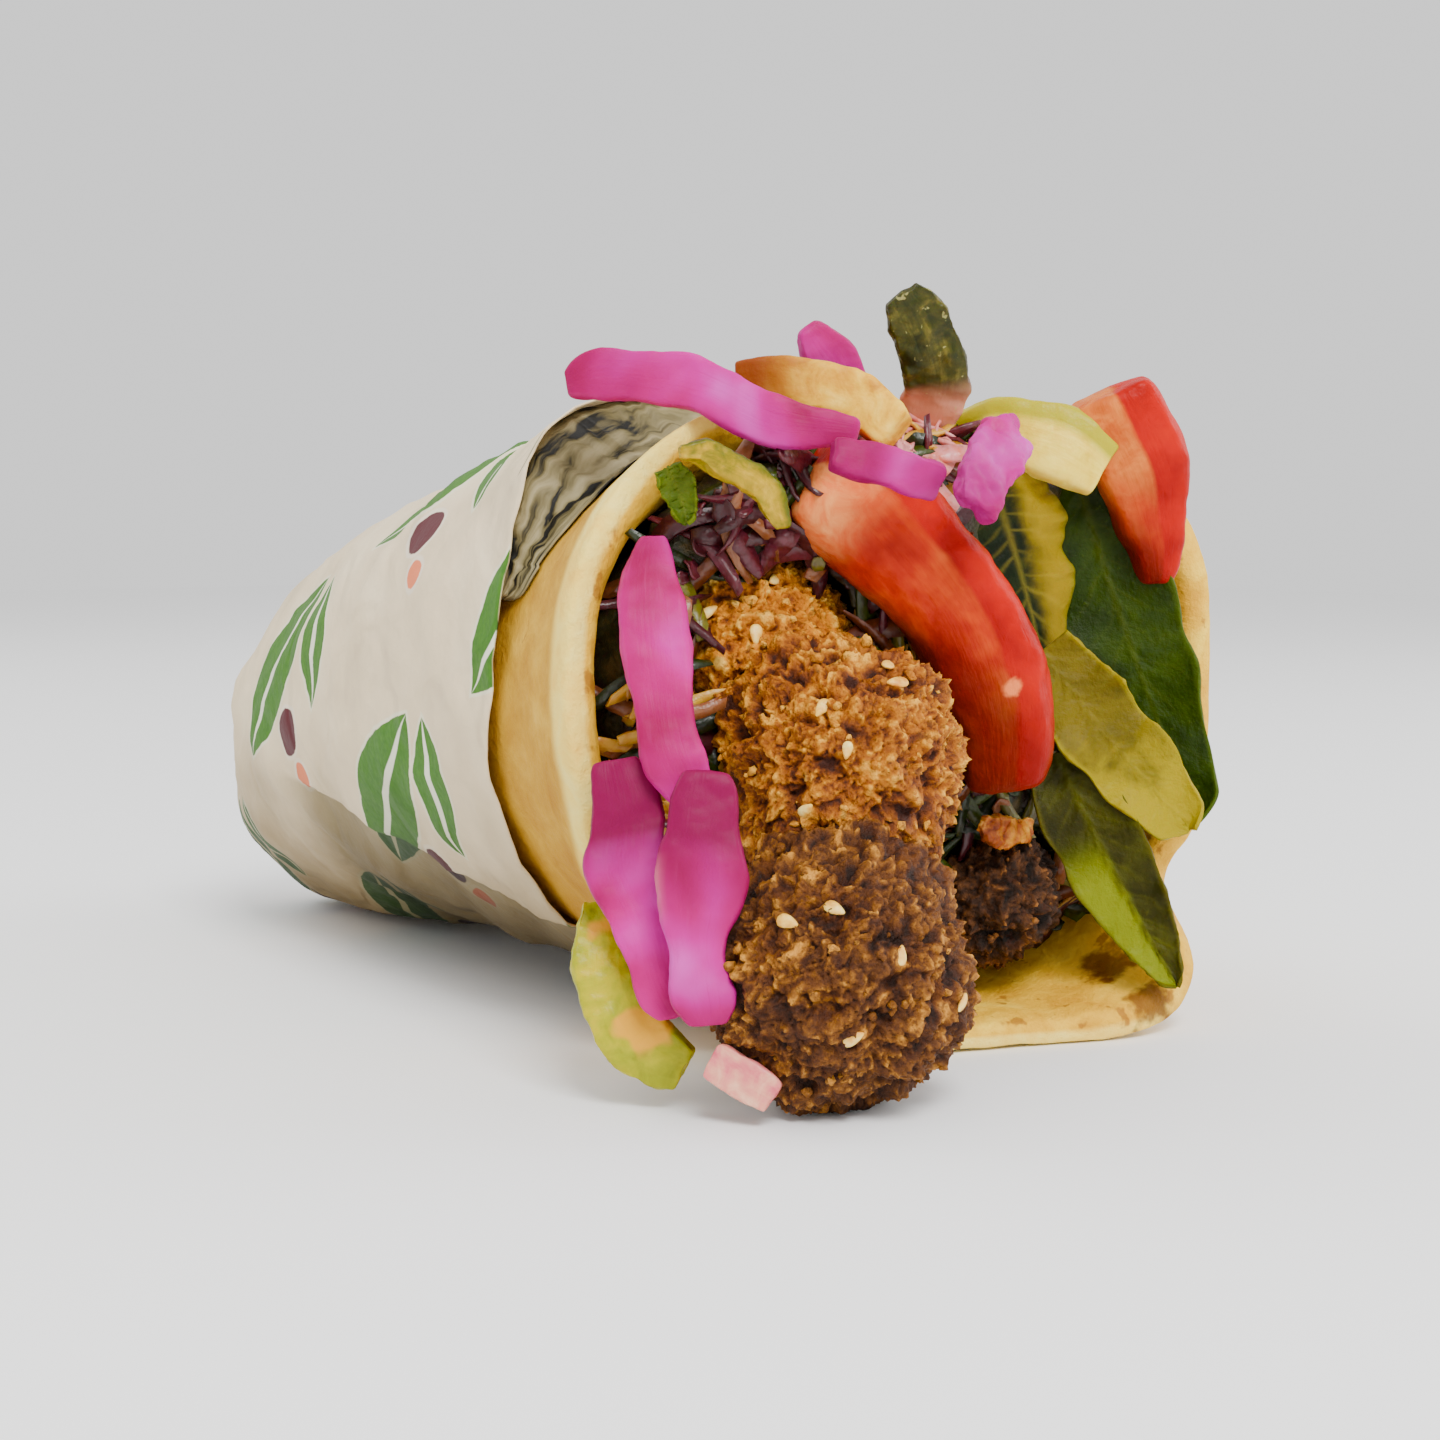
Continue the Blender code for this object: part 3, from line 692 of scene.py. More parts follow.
outline = dict(
    stations=(                                     # how far back, half its width, its lowest and highest
        (-24, 53.2, -3.0, 90.0), (0, 53.2, -2.6, 91.0), (30, 50.5, 0.4, 88.0), (70, 46.5, 2.2, 82.0),
        (105, 41.5, 1.4, 75.0), (135, 36.0, -1.4, 62.0), (152, 27.0, -2.0, 44.0), (161, 15.0, 3.0, 22.0)),
    roundTop=2.7, roundLeft=1.9, roundRight=3.3,           # 2 is round, more is squarer
    rimMean=-3.0, rimSlant=7.5,
    lip=(14.0, -65, 0.55), tear=(7.0, -30, 0.13),          # how deep, at which angle, how wide
    sag=(6.0, -140, 0.4), push=(17.0, 82, 0.6),
)


# How square its section is on each side
def squareness(up, across):
    side = np.where(across > 0, outline["roundRight"], outline["roundLeft"])
    return np.where(up > 0, outline["roundTop"], side)


# The angle of each point round the wrap, from +X up over the top
def around(points):
    x, y, z = (np.asarray(points) / mm - np.array(mouth)).T
    rows = np.array(outline["stations"])
    half, low, high = (np.interp(y, rows[:, 0], rows[:, k]) for k in (1, 2, 3))
    up = (z - (low + high) / 2) / ((high - low) / 2)
    across = x / half
    power = squareness(up, across)
    up, across = (np.sign(part) * np.abs(part) ** (power / 2) for part in (up, across))
    return np.arctan2(up, across)


def hump(t, middle, width):
    middle = math.radians(middle)
    return np.exp(-(np.arctan2(np.sin(t - middle), np.cos(t - middle)) / width) ** 2)


def rimPlace(t):
    o = outline
    ripple = 0.9 * np.sin(5 * t + 1.0) + 0.6 * np.sin(11 * t)
    rim = o["rimMean"] - o["rimSlant"] * np.cos(t) + ripple - o["lip"][0] * hump(t, *o["lip"][1:])
    for depth, middle, width in (o["tear"], o["sag"], o["push"]):
        rim = rim + depth * hump(t, middle, width)
    return rim


# Bread

bread = dict(
    levels=3, lumps=((16, 1.1), (6, 0.35), (1.8, 0.18)), middle=45,
    toastedAt=((31.0, -8.6, 7.8), (28.6, -19.6, 4.8)),
)


def breadFinish():
    place = newFinish("bakedBread", Roughness=0.7, Specular_IOR_Level=0.22)
    inner = kept("inner")
    broad = speckle(place, 22, 3.0, 0.6, 0.6)
    mottle = speckle(place, 7, 5.0, 0.62, 0.5)
    fine = speckle(place, 1.2, 4.0, 0.65)
    skin = ramp(mottle, (0.28, 178, 124, 20), (0.45, 194, 144, 32), (0.58, 206, 158, 44),
                (0.75, 222, 178, 66))
    skin = mixed(level(broad, 0.5, 0.75, 0.6), skin, (176, 120, 22))
    skin = mixed(level(speckle(place, 4.5, 4.0, 0.6, 1.0), 0.66, 0.74, 0.5), skin, (130, 72, 10))
    crumbColour = ramp(mottle, (0.3, 246, 198, 78), (0.5, 254, 220, 104), (0.72, 255, 234, 134))
    golden = ramp(mottle, (0.3, 206, 144, 14), (0.5, 234, 178, 34), (0.7, 252, 208, 66))
    crumbColour = mixed(level(axes(place)[0], 24 * mm, 42 * mm), crumbColour, golden)
    colour = mixed(level(plus(kept("behindRim"), times(mottle, 4.0)), 9.0, 6.0), skin, crumbColour)
    colour = mixed(level(inner, 0.45, 0.85), colour, golden)
    edge = times(level(inner, 0.3, 0.6), level(speckle(place, 4.0), 0.58, 0.66, 0.7))
    colour = mixed(edge, colour, (146, 84, 16))
    for middle in bread["toastedAt"]:
        apart = apartFrom(place, middle, 3.5, 3.0, 9)
        colour = mixed(level(apart, 9.5 * mm, 7 * mm, 0.85), colour, (104, 50, 0))
    return coated(colour, (mottle, 0.5), (fine, 0.35), (speckle(place, 0.4, 2.0, 0.7), 0.1))


def makeBread():
    piece = copyOfNode("bread", "bakedBread")
    subdivided(piece, bread["levels"])
    for size, height in bread["lumps"]:
        unevened(piece, size, height)
    points = onFloor(readPoints(piece))
    writePoints(piece, points)
    mark(piece, "behindRim", behindMouth(points) - rimPlace(around(points)))
    mark(piece, "inner", np.clip(0.5 - outwardness(piece, bread["middle"]) * 1.5, 0, 1))
    finished(piece, breadFinish(), "flatbread", "bread")


makeBread()
print("bread made")


# Paper: one thin creased sheet, printed with a plain sprig

paper = dict(
    levels=3, sheet=0.25,
    creases=dict(fine=0.5, broad=1.0, fineAt=(9.0, 8.1), broadAt=(26.0, 3.3)),
    middle=40, closedFrom=128,         # its middle's height, and where the sheet is folded shut
    half=46.5, halfHigh=40.0,          # where its girth is measured
    folds=(                            # where, which way it runs, how high, half its length
        (-40, 60, 0.5, 1.3, 34), (20, 96, -0.9, 1.1, 40), (-62, 118, 0.25, 1.0, 30), (58, 72, 0.7, 1.0, 36),
        (-8, 136, -0.3, 0.9, 26)),
    # tuck: the raised edge of a fold, and shade is the painted shade put on the sheet below it
    tuck=dict(slope=0.333, start=43.3, height=1.0, span=16.0, fade=(112, 96), shade=(160, 156, 128)),
    cell=(50.0, 47.0), slant=-62, start=(14.0, 60.0),        # the print's spacing, its turn, where it starts
    bigLeaf=(-5.5, 1.5, 14, 36.0, 16.0),           # across, along, turn, long, wide
    smallLeaf=(9.0, -8.5, -34, 22.0, 10.0),
    berry=(6.6, 9.0, 3.9), smallBerry=(12.6, 14.0, 2.3),     # across, along, radius
    green=(40, 92, 2), maroon=(78, 10, 20), salmon=(226, 120, 74),
)


# Where each point lies on the flat sheet, in mm: round the wrap and along it
def sheetPlace(points):
    rows = np.array(outline["stations"])
    turns = np.linspace(-math.pi, math.pi, 721)
    up, across = np.sin(turns), np.cos(turns)
    power = 2 / squareness(up, across)
    x = paper["half"] * np.sign(across) * np.abs(across) ** power
    z = paper["halfHigh"] * np.sign(up) * np.abs(up) ** power
    run = np.concatenate(((0,), np.cumsum(np.hypot(np.diff(x), np.diff(z)))))
    turn = 2 * math.pi
    t = np.mod(around(points) + turn / 4, turn) - turn / 4       # its edges meet underneath
    twice = np.concatenate((turns, turns[1:] + turn))
    length = np.interp(t, twice, np.concatenate((run, run[1:] + run[-1])))
    y = behindMouth(points)
    half = np.interp(y, rows[:, 0], rows[:, 1])
    girth = (rows[:, 1] + (rows[:, 3] - rows[:, 2]) / 2) / 2
    steps = np.cumsum(np.hypot(np.diff(rows[:, 0]), np.diff(girth)))
    along = np.interp(y, rows[:, 0], rows[0, 0] + np.concatenate(((0,), steps)))
    return np.column_stack(((length - run[-1]) * half / paper["half"], along, np.zeros(len(y))))


def creaseHeight(flat):
    c, (u, v, _) = paper["creases"], flat.T
    broad, fine = (np.abs(noiseAt(u / size, v / size, layer)) for size, layer in (c["broadAt"], c["fineAt"]))
    heights = -c["broad"] * np.minimum(broad * 2.2, 1) - c["fine"] * np.minimum(fine * 2.0, 1)
    for x, y, turn, height, reach in paper["folds"]:
        across = (u - x) * math.sin(turn) - (v - y) * math.cos(turn)
        along = (u - x) * math.cos(turn) + (v - y) * math.sin(turn)
        narrowing = np.clip(1.4 - np.abs(along) / reach, 0, 1)
        heights += height * np.clip(1 - np.abs(across) / 5.0, 0, 1) * narrowing
    tuck = paper["tuck"]
    past = u + tuck["slope"] * v - tuck["start"]
    last, first = tuck["fade"]
    lip = np.clip(1 - past, 0, 1) * np.exp(np.minimum(past, 0) / tuck["span"])     # the upper layer's edge
    return heights + tuck["height"] * np.clip((last - v) / (last - first), 0, 1) * lip


def motifPlace(cell, across, along, turn):
    moved = add("Mapping", {"Vector": cell, "Location": (across, along, 0),
                            "Rotation": (0, 0, math.radians(turn))}, vector_type="TEXTURE")
    return axes(moved.outputs["Vector"])[:2]


# How far inside a pointed leaf, and inside its middle line, each point lies
def printedLeaf(cell, across, along, turn, long, wide):
    x, y = motifPlace(cell, across, along, turn)
    bow = minus(1.0, maths("POWER", maths("ABSOLUTE", times(y, 2 / long)), 2.0))
    return [minus(times(bow, half), maths("ABSOLUTE", x)) for half in (wide / 2, 0.9)]


def printedDot(cell, across, along, radius):
    x, y = motifPlace(cell, across, along, 0)
    return minus(radius, maths("SQRT", plus(times(x, x), times(y, y))))


def paperFinish():
    place = newFinish("printedPaper", Roughness=0.66, Specular_IOR_Level=0.35)
    colour = ramp(speckle(place, 16), (0.3, 214, 194, 158), (0.5, 228, 207, 170), (0.75, 236, 218, 182))
    turned = add("Mapping", {"Vector": kept("flat", "Vector"), "Location": (*paper["start"], 0),
                             "Rotation": (0, 0, math.radians(paper["slant"]))}, vector_type="TEXTURE")
    x, y, _ = axes(turned.outputs["Vector"])
    wide, tall = paper["cell"]
    shifted = plus(x, times(maths("FLOOR", maths("DIVIDE", plus(y, tall / 2), tall)), wide / 2))
    cell = add("CombineXYZ", {"X": maths("WRAP", shifted, wide / 2, -wide / 2),
                              "Y": maths("WRAP", y, tall / 2, -tall / 2)}).outputs["Vector"]
    wobble = times(minus(speckle(place, 2.5, 2.0), 0.5), 0.8)
    ink = speckle(place, 0.8, 2.0)
    for leaf in ("bigLeaf", "smallLeaf"):
        depth, rib = printedLeaf(cell, *paper[leaf])
        depth = plus(depth, wobble)
        colour = mixed(level(depth, -0.9, -0.5, 0.5), colour, (228, 232, 206))
        colour = mixed(level(depth, -0.1, 0.15), colour, mixed(ink, paper["green"], (72, 124, 16)))
        colour = mixed(level(rib, -0.1, 0.15), colour, (226, 226, 200))
    for dot, tone in (("berry", "maroon"), ("smallBerry", "salmon")):
        depth = plus(printedDot(cell, *paper[dot]), wobble)
        colour = mixed(level(depth, -0.9, -0.5, 0.5), colour, (232, 222, 206))
        colour = mixed(level(depth, -0.1, 0.15), colour, paper[tone])
    streak = speckle(objectPlace((1.0, 3.5, 1.0)), 9, 3.0, 0.6, 0.5)
    # the inside: the paper's own colour, with its darkest streaks painted shadows in its creases and gaps
    under = ramp(streak, (0.36, 48, 40, 24), (0.43, 206, 186, 146), (0.65, 240, 222, 182))
    # painted shade: the sheet darkens towards its foot
    soaked = plus(maths("DIVIDE", axes(place)[2], mm), times(speckle(place, 20, 4.0), 24))
    colour = mixed(level(soaked, 50, 20, 0.9), colour, (140, 126, 86), "MULTIPLY")
    tuck, (round, along, _) = paper["tuck"], axes(kept("flat", "Vector"))
    past = plus(minus(plus(round, times(along, tuck["slope"])), tuck["start"]), times(wobble, 1.5))
    tucked = times(level(past, -0.3, 1.6), level(along, *tuck["fade"]))
    # painted shade on the sheet below the tuck's raised edge
    colour = mixed(times(tucked, 0.9), colour, tuck["shade"], "MULTIPLY")
    colour = mixed(kept("inside"), colour, under)
    creased = level(maths("ABSOLUTE", minus(speckle(place, 24, 2.0, 0.5, 0.4), 0.5)), 0.0, 0.09)
    return coated(colour, (creased, 0.4), (speckle(place, 7, 3.0, 0.6), 0.6),
                  (speckle(place, 0.5, 2.0), 0.04))


def makePaper():
    piece = copyOfNode("paper_wrap", "wrappingPaper")
    inner = outwardness(piece, paper["middle"]) < -0.2
    inner &= behindMouth(readPoints(piece)) < paper["closedFrom"]
    editMode()
    bpy.ops.mesh.select_mode(type="VERT")
    bpy.ops.mesh.select_all(action="DESELECT")
    objectMode()
    piece.data.vertices.foreach_set("select", inner)
    editMode()
    bpy.ops.mesh.delete(type="VERT")
    objectMode()
    piece.data.vertices[int(np.argmin(readPoints(piece)[:, 1]))].select = True
    editMode()
    bpy.ops.mesh.select_linked()                  # the outer wall, which hangs on the mouth's edge
    bpy.ops.mesh.select_all(action="INVERT")
    bpy.ops.mesh.delete(type="VERT")
    objectMode()
    print("paper's outer wall:", len(piece.data.vertices), "of", len(inner))
    subdivided(piece, paper["levels"])
    points = readPoints(piece)
    flat = sheetPlace(points)
    writePoints(piece, onFloor(points + readNormals(piece) * (creaseHeight(flat) * mm)[:, None]))
    mark(piece, "flat", flat)
    applied(piece, "SOLIDIFY", thickness=paper["sheet"] * mm, offset=-1.0)
    mark(piece, "inside", np.arange(len(piece.data.vertices)) >= len(points))
    finished(piece, paperFinish(), "wrapping_paper", "paper_wrap")


# The cuff: the paper's edge pressed in against the bread at the upper left, between two angles that turn
# about a line at the heart's height

cuff = dict(start=74, end=158, heart=42, rows=26, columns=150, reach=12.5, crumple=1.5)


def cuffFinish():
    place = newFinish("paperCuff", Roughness=0.6, Specular_IOR_Level=0.3)
    streak = streaked(kept("flat", "Vector"), (0.06, 0.34, 1), warp=0.8)
    # painted shade: grey tones for the sheet in shadow, and its darkest streaks painted shadows in its
    # creases
    tone = ramp(streak, (0.39, 10, 8, 2), (0.45, 96, 86, 52), (0.56, 138, 126, 88), (0.75, 180, 168, 130))
    return coated(tone, (streak, 0.6), (speckle(place, 0.6, 2.0), 0.05))


def surfaceAt(tree, angle, y):
    out = Vector((math.cos(angle), 0, math.sin(angle)))
    heart = spot(0, y, cuff["heart"])
    hit = tree.ray_cast(heart + out * 0.12, -out, 0.11)[0]
    return (hit - heart).dot(out) / mm if hit else None


def makeCuff():
    breadSide, paperSide = treeOf("bakedBread"), treeOf("wrappingPaper")
    piece = modelled(bpy.ops.mesh.primitive_grid_add, "paperCuff", size=2, x_subdivisions=cuff["columns"],
                     y_subdivisions=cuff["rows"])
    rims, laid, flat = {}, [], []
    for x, s, _ in readPoints(piece):
        angle = math.radians(cuff["start"] + (cuff["end"] - cuff["start"]) * (x + 1) / 2)
        if angle not in rims:
            rims[angle] = next(y for y in range(-20, 90) if surfaceAt(paperSide, angle, y) is not None)
        s = s / 2 + 0.5
        fade = math.sin(math.pi * (x + 1) / 2) ** 0.6
        y = rims[angle] + 3.0 - s * (3.0 + cuff["reach"] * fade)
        paperHigh = surfaceAt(paperSide, angle, rims[angle] + 1.5) - 0.7
        breadHigh = surfaceAt(breadSide, angle, y) or paperHigh - 3
        sink = min(s * 1.5, 1)
        sink = sink * sink * (3 - 2 * sink)
        crumple = noise.noise(Vector((x * 9, s * 2.5, 4.0))) + 0.5 * noise.noise(Vector((x * 23, s * 5, 9.0)))
        high = paperHigh + (breadHigh + 0.5 - paperHigh) * sink
        high += cuff["crumple"] * abs(crumple) * math.sin(math.pi * min(s + 0.1, 1))
        high = min(max(high, breadHigh + 0.3), max(paperHigh, breadHigh + 0.3))
        laid.append(spot(high * math.cos(angle), y, cuff["heart"] + high * math.sin(angle)))
        flat.append((x * 60, s * 18, 0))
    writePoints(piece, laid)
    mark(piece, "flat", flat)
    applied(piece, "SOLIDIFY", thickness=paper["sheet"] * mm, offset=0.0)
    finished(piece, cuffFinish(), "wrapping_paper")


makePaper()
makeCuff()
print("paper made")


# Pickled turnip and the other sticks

sticks = dict(
    turnip_strip_1=dict(
        points=((-43.0, 17, 88.4), (-39.0, 13, 90.0), (-32.8, 5, 88.4), (-27.5, -4, 84.0),
                (-18.6, -11.5, 82)),
        width=7.8, thick=3.2, ends=0.8, taper=0.5, slim=0.72, corner=0.9, lumps=((9, 1.6), (2, 0.2)),
        ragged=0.25, deep=(0.35, 0.35),
    ),
    turnip_strip_2=dict(
        points=((-14.0, 4, 96.4), (-9.6, 4, 91.8), (-6.0, 5.5, 86), (-4.0, 9, 77)),
        width=6.6, thick=3.4, corner=1.0, ends=1.3, taper=0.45, deep=(0.4, 0.5),
    ),
    turnip_strip_3=dict(
        points=((-26, -15.5, 79.2), (-18.4, -18.5, 77.4), (-12.2, -20.2, 75.6)),
        width=5.2, thick=2.8, twist=0.8, corner=0.9, deep=(0.8, 0.7),
    ),
    turnip_strip_4=dict(
        points=((-10.6, -24.6, 72.6), (-6.6, -23, 77), (-0.4, -19.5, 81.4), (4.6, -15.5, 81.2)),
        width=7.2, thick=3.0, twist=-0.9, corner=0.9, deep=(0.7, 0.5), lumps=((4, 2.4), (1.6, 0.5)),
    ),
    turnip_strip_5=dict(
        points=((-41.6, 0.5, 69), (-45.4, -5, 57), (-46.4, -9.5, 45), (-44.4, -13, 36)),
        width=8.4, thick=3.2, corner=1.2, taper=0.4, slim=0.8, deep=(0.25, 0.0),
        lumps=((10, 1.6), (2, 0.2)), ragged=0.25,
    ),
    turnip_strip_6=dict(
        points=((-50.4, -3.8, 42), (-50.3, -7.3, 31), (-49.8, -11.4, 20), (-48.6, -14.8, 12)),
        width=10.6, thick=3.0, corner=1.1, taper=0.5, slim=0.8, deep=(1.9, 0.0), lumps=((7, 1.2), (2, 0.2)),
        ragged=0.3,
    ),
    turnip_strip_7=dict(
        points=((-45.8, -16.6, 41.2), (-47.8, -18, 31), (-48.8, -19, 20.5), (-49.2, -21, 11.8)),
        width=10.2, thick=3.0, corner=1.1, taper=0.5, slim=0.76, deep=(1.5, 0.35),
        lumps=((7, 1.2), (2, 0.2)), ragged=0.3, slit=(-4.2, 0.3, 0.58),
    ),
)


def turnipFinish():
    place = newFinish("pinkTurnip", Roughness=0.46, Subsurface_Weight=0.25, Subsurface_Scale=0.002,
                      Subsurface_Radius=(1.0, 0.35, 0.6), Specular_IOR_Level=0.12)
    fibre = streaked(kept("straight", "Vector"), (1.3, 1.3, 0.12))
    colour = ramp(speckle(place, 13, 2.0, 0.5, 0.3), (0.34, 154, 0, 78), (0.46, 184, 0, 114),
                  (0.56, 200, 14, 146), (0.68, 214, 70, 180))
    colour = mixed(level(fibre, 0.56, 0.85, 0.25), colour, (216, 70, 150))
    colour = mixed(level(fibre, 0.42, 0.2, 0.3), colour, (150, 0, 70))
    colour = mixed(kept("deep"), colour, (124, 0, 64))
    colour = mixed(kept("pale"), colour, (240, 150, 150))
    return coated(colour, (fibre, 0.07), (speckle(place, 0.8), 0.04))


def makeStrip(node, v, finish):
    piece = bentStick("pinkStrip" + node[-1], v)
    straight = keptPoints(piece, "straight")
    shares = straight[:, 2] / curveLength(v["points"]) + 0.5
    start, end = v["deep"]
    left, first, last = v["slit"]
    edge = np.clip((left - straight[:, 0]) / 1.2, 0, 1)
    mark(piece, "pale", 0.8 * edge * np.clip((shares - first) / 0.15, 0, 1)
         * np.clip((last - shares) / 0.2, 0, 1))
    grain = 0.25 * noiseAt(shares * 5, len(node), v["width"])
    mark(piece, "deep", np.clip(start * np.clip(1.15 - 2.2 * shares, 0, 1) + end * shares + grain, 0, 1))
    finished(piece, finish, "pink_turnip", node)


turnip = turnipFinish()
for node, v in sticks.items():
    makeStrip(node, {**plainStick, **v}, turnip)
print("turnip strips made")


# Fried potato, cucumber, rib, peppers, onion and cabbage

trimmings = dict(
    fried_potato=dict(
        points=((-23.0, 7.5, 88.6), (-18.2, 2.0, 88.6), (-12.6, -4.0, 86.6), (-10.4, -10.0, 82.4)),
        width=6.6, thick=4.6, corner=0.9, slot="potato_gold", name="friedPotato",
        lumps=((7, 1.0), (1.6, 0.2)),
    ),
    cucumber_stick=dict(
        points=((-40.8, -4.5, 79.4), (-36.6, -6.0, 78.8), (-31.0, -8, 75.2), (-28.6, -9, 70)),
        width=4.0, thick=3.0, taper=0.5, ragged=0.5, slot="cucumber_green", name="cucumberStick",
        lumps=((4, 1.4), (1.6, 0.3)),
    ),
    lettuce_rib=dict(
        points=((18.0, 8, 80.4), (16.4, 0, 83.4), (20.4, -7.0, 81.8), (25.4, -12.0, 77.6)),
        width=9.8, thick=4.6, corner=1.4, slot="rib_white", name="lettuceRib", lumps=((9, 1.4), (2.5, 0.2)),
    ),
    pepper_strip=dict(
        points=((-3.8, -3, 100.6), (1.4, -2.6, 94.6), (5.6, 0.5, 87), (6.5, 12, 76)),
        width=8.6, thick=2.2, corner=0.8, taper=0.62, slot="pepper_green", name="pepperStrip",
        lumps=((5, 1.5), (1.5, 0.4)),
    ),
    onion_piece=dict(
        points=((-47.6, -19.5, 7.4), (-45.8, -22, 6), (-43.0, -26, 3.2)),
        width=5.0, thick=2.0, corner=0.5, slot="pink_onion", name="onionPiece",
    ),
    pickled_pepper=dict(
        points=((-50.6, -1.5, 24.5), (-52.4, -4.5, 15.8), (-50.6, -8.5, 8.2), (-46.5, -13, 5.0)),
        width=8.0, thick=2.6, twist=0.4, corner=0.8, taper=0.7, slot="pepper_yellow", name="pickledPepper",
        lumps=((5, 1.6), (1.5, 0.4)),
    ),
    tahini_cabbage=dict(
        points=((5.6, -9, 30.4), (11, -8, 28.8), (17.5, -6.5, 28.6)),
        width=4.2, thick=2.2, slot="cabbage_cream", name="saucedCabbage", taper=0.4,
        lumps=((3.5, 2.6), (1.2, 0.9)),
    ),
)
tones = dict(                          # four shades of each, dark to light, then roughness, size and fibre
    fried_potato=((166, 96, 0), (212, 146, 10), (240, 184, 40), (255, 216, 90), 0.5, 5.0, 0.06),
    cucumber_stick=((76, 84, 0), (128, 112, 0), (172, 140, 8), (210, 170, 44), 0.35, 2.5, 0.3),
    lettuce_rib=((222, 184, 38), (240, 208, 68), (250, 224, 92), (255, 238, 136), 0.38, 5.0, 0.2),
    pepper_strip=((18, 22, 0), (38, 42, 0), (62, 60, 4), (112, 102, 30), 0.36, 3.0, 0.25),
    onion_piece=((206, 76, 96), (224, 116, 120), (232, 150, 130), (244, 188, 156), 0.3, 3.0, 0.2),
    pickled_pepper=((118, 122, 0), (152, 154, 0), (178, 170, 0), (204, 180, 0), 0.36, 5.0, 0.15),
    tahini_cabbage=((96, 30, 2), (150, 70, 10), (198, 128, 36), (232, 180, 84), 0.4, 2.5, 0.15),
)


def stickFinish(node):
    darkest, dark, light, lightest, roughness, size, strands = tones[node]
    place = newFinish(trimmings[node]["name"], Roughness=roughness, Subsurface_Weight=0.2,
                      Subsurface_Scale=0.0015, Specular_IOR_Level=0.2)
    straight = kept("straight", "Vector")
    fibre = streaked(straight, (0.9, 0.9, 0.14))
    blotch = plus(times(speckle(place, size, 4.0, 0.6, 0.5), 1 - strands), times(fibre, strands))
    colour = ramp(blotch, (0.30, *darkest), (0.44, *dark), (0.56, *light), (0.72, *lightest))
    x, _, z = axes(straight)
    if node == "fried_potato":       # darker brown towards its first end
        colour = mixed(level(z, 1, -9), colour, (136, 62, 0))
    if node == "pepper_strip":       # its lower part shows the mauve inside
        colour = mixed(level(z, 1, 6), colour, (206, 138, 108))
        colour = mixed(level(speckle(place, 1.4, 2.0), 0.66, 0.72, 0.6), colour, (176, 170, 100))
    if node == "lettuce_rib":
        colour = mixed(level(x, 1.2, 3.6), colour, (176, 164, 2))
    if node == "cucumber_stick":
        colour = mixed(level(x, 1.2, 2.0), colour, (70, 84, 0))
    if node == "pickled_pepper":
        colour = mixed(level(speckle(place, 7, 2.0), 0.55, 0.66), colour, (222, 160, 30))
    return coated(colour, (fibre, 0.6 * strands), (speckle(place, 0.7), 0.08))


for node, v in trimmings.items():
    finished(bentStick(v["name"], {**plainStick, **v}), stickFinish(node), v["slot"], node)
print("trimmings made")


# Tomato

# Skin starts at ridge, across. Along a wedge it darkens over the places in shade and pales from paleFrom
tomatoes = dict(
    tomato_wedge_1=dict(
        points=((-19, -2, 76.8), (-9.6, -5.4, 71.3), (0.1, -9.2, 60.8), (6, -11.7, 47.6), (7, -12.7, 35.2)),
        width=16.5, thick=11, taper=0.72, twist=0.35, corner=3.6, ends=2.6, lumps=((9, 1.4), (3, 0.3)),
        slim=0.86, crest=(2.4, 9, 3.0), ridge=2.6, shade=(2, 16), paleFrom=-13, paleTone=(230, 104, 44),
        # the last entry is where a painted highlight spot sits
        palest=(246, 156, 84), fleck=(2.5, -18.1, 49.3),
    ),
    tomato_wedge_2=dict(
        points=((27.0, -11, 88.6), (31.8, -12, 78.8), (34.8, -12, 70.4), (35.6, -11.5, 62.2)),
        width=16, thick=8, taper=0.7, twist=-0.3, slim=0.34, corner=2.4, ends=1.2,
        lumps=((9, 1.2), (3, 0.3)), crest=(0.6, 8, 2.0), ridge=0.8, shade=(2, 16), paleFrom=4,
        paleTone=(192, 84, 18), palest=(216, 120, 46),
    ),
)


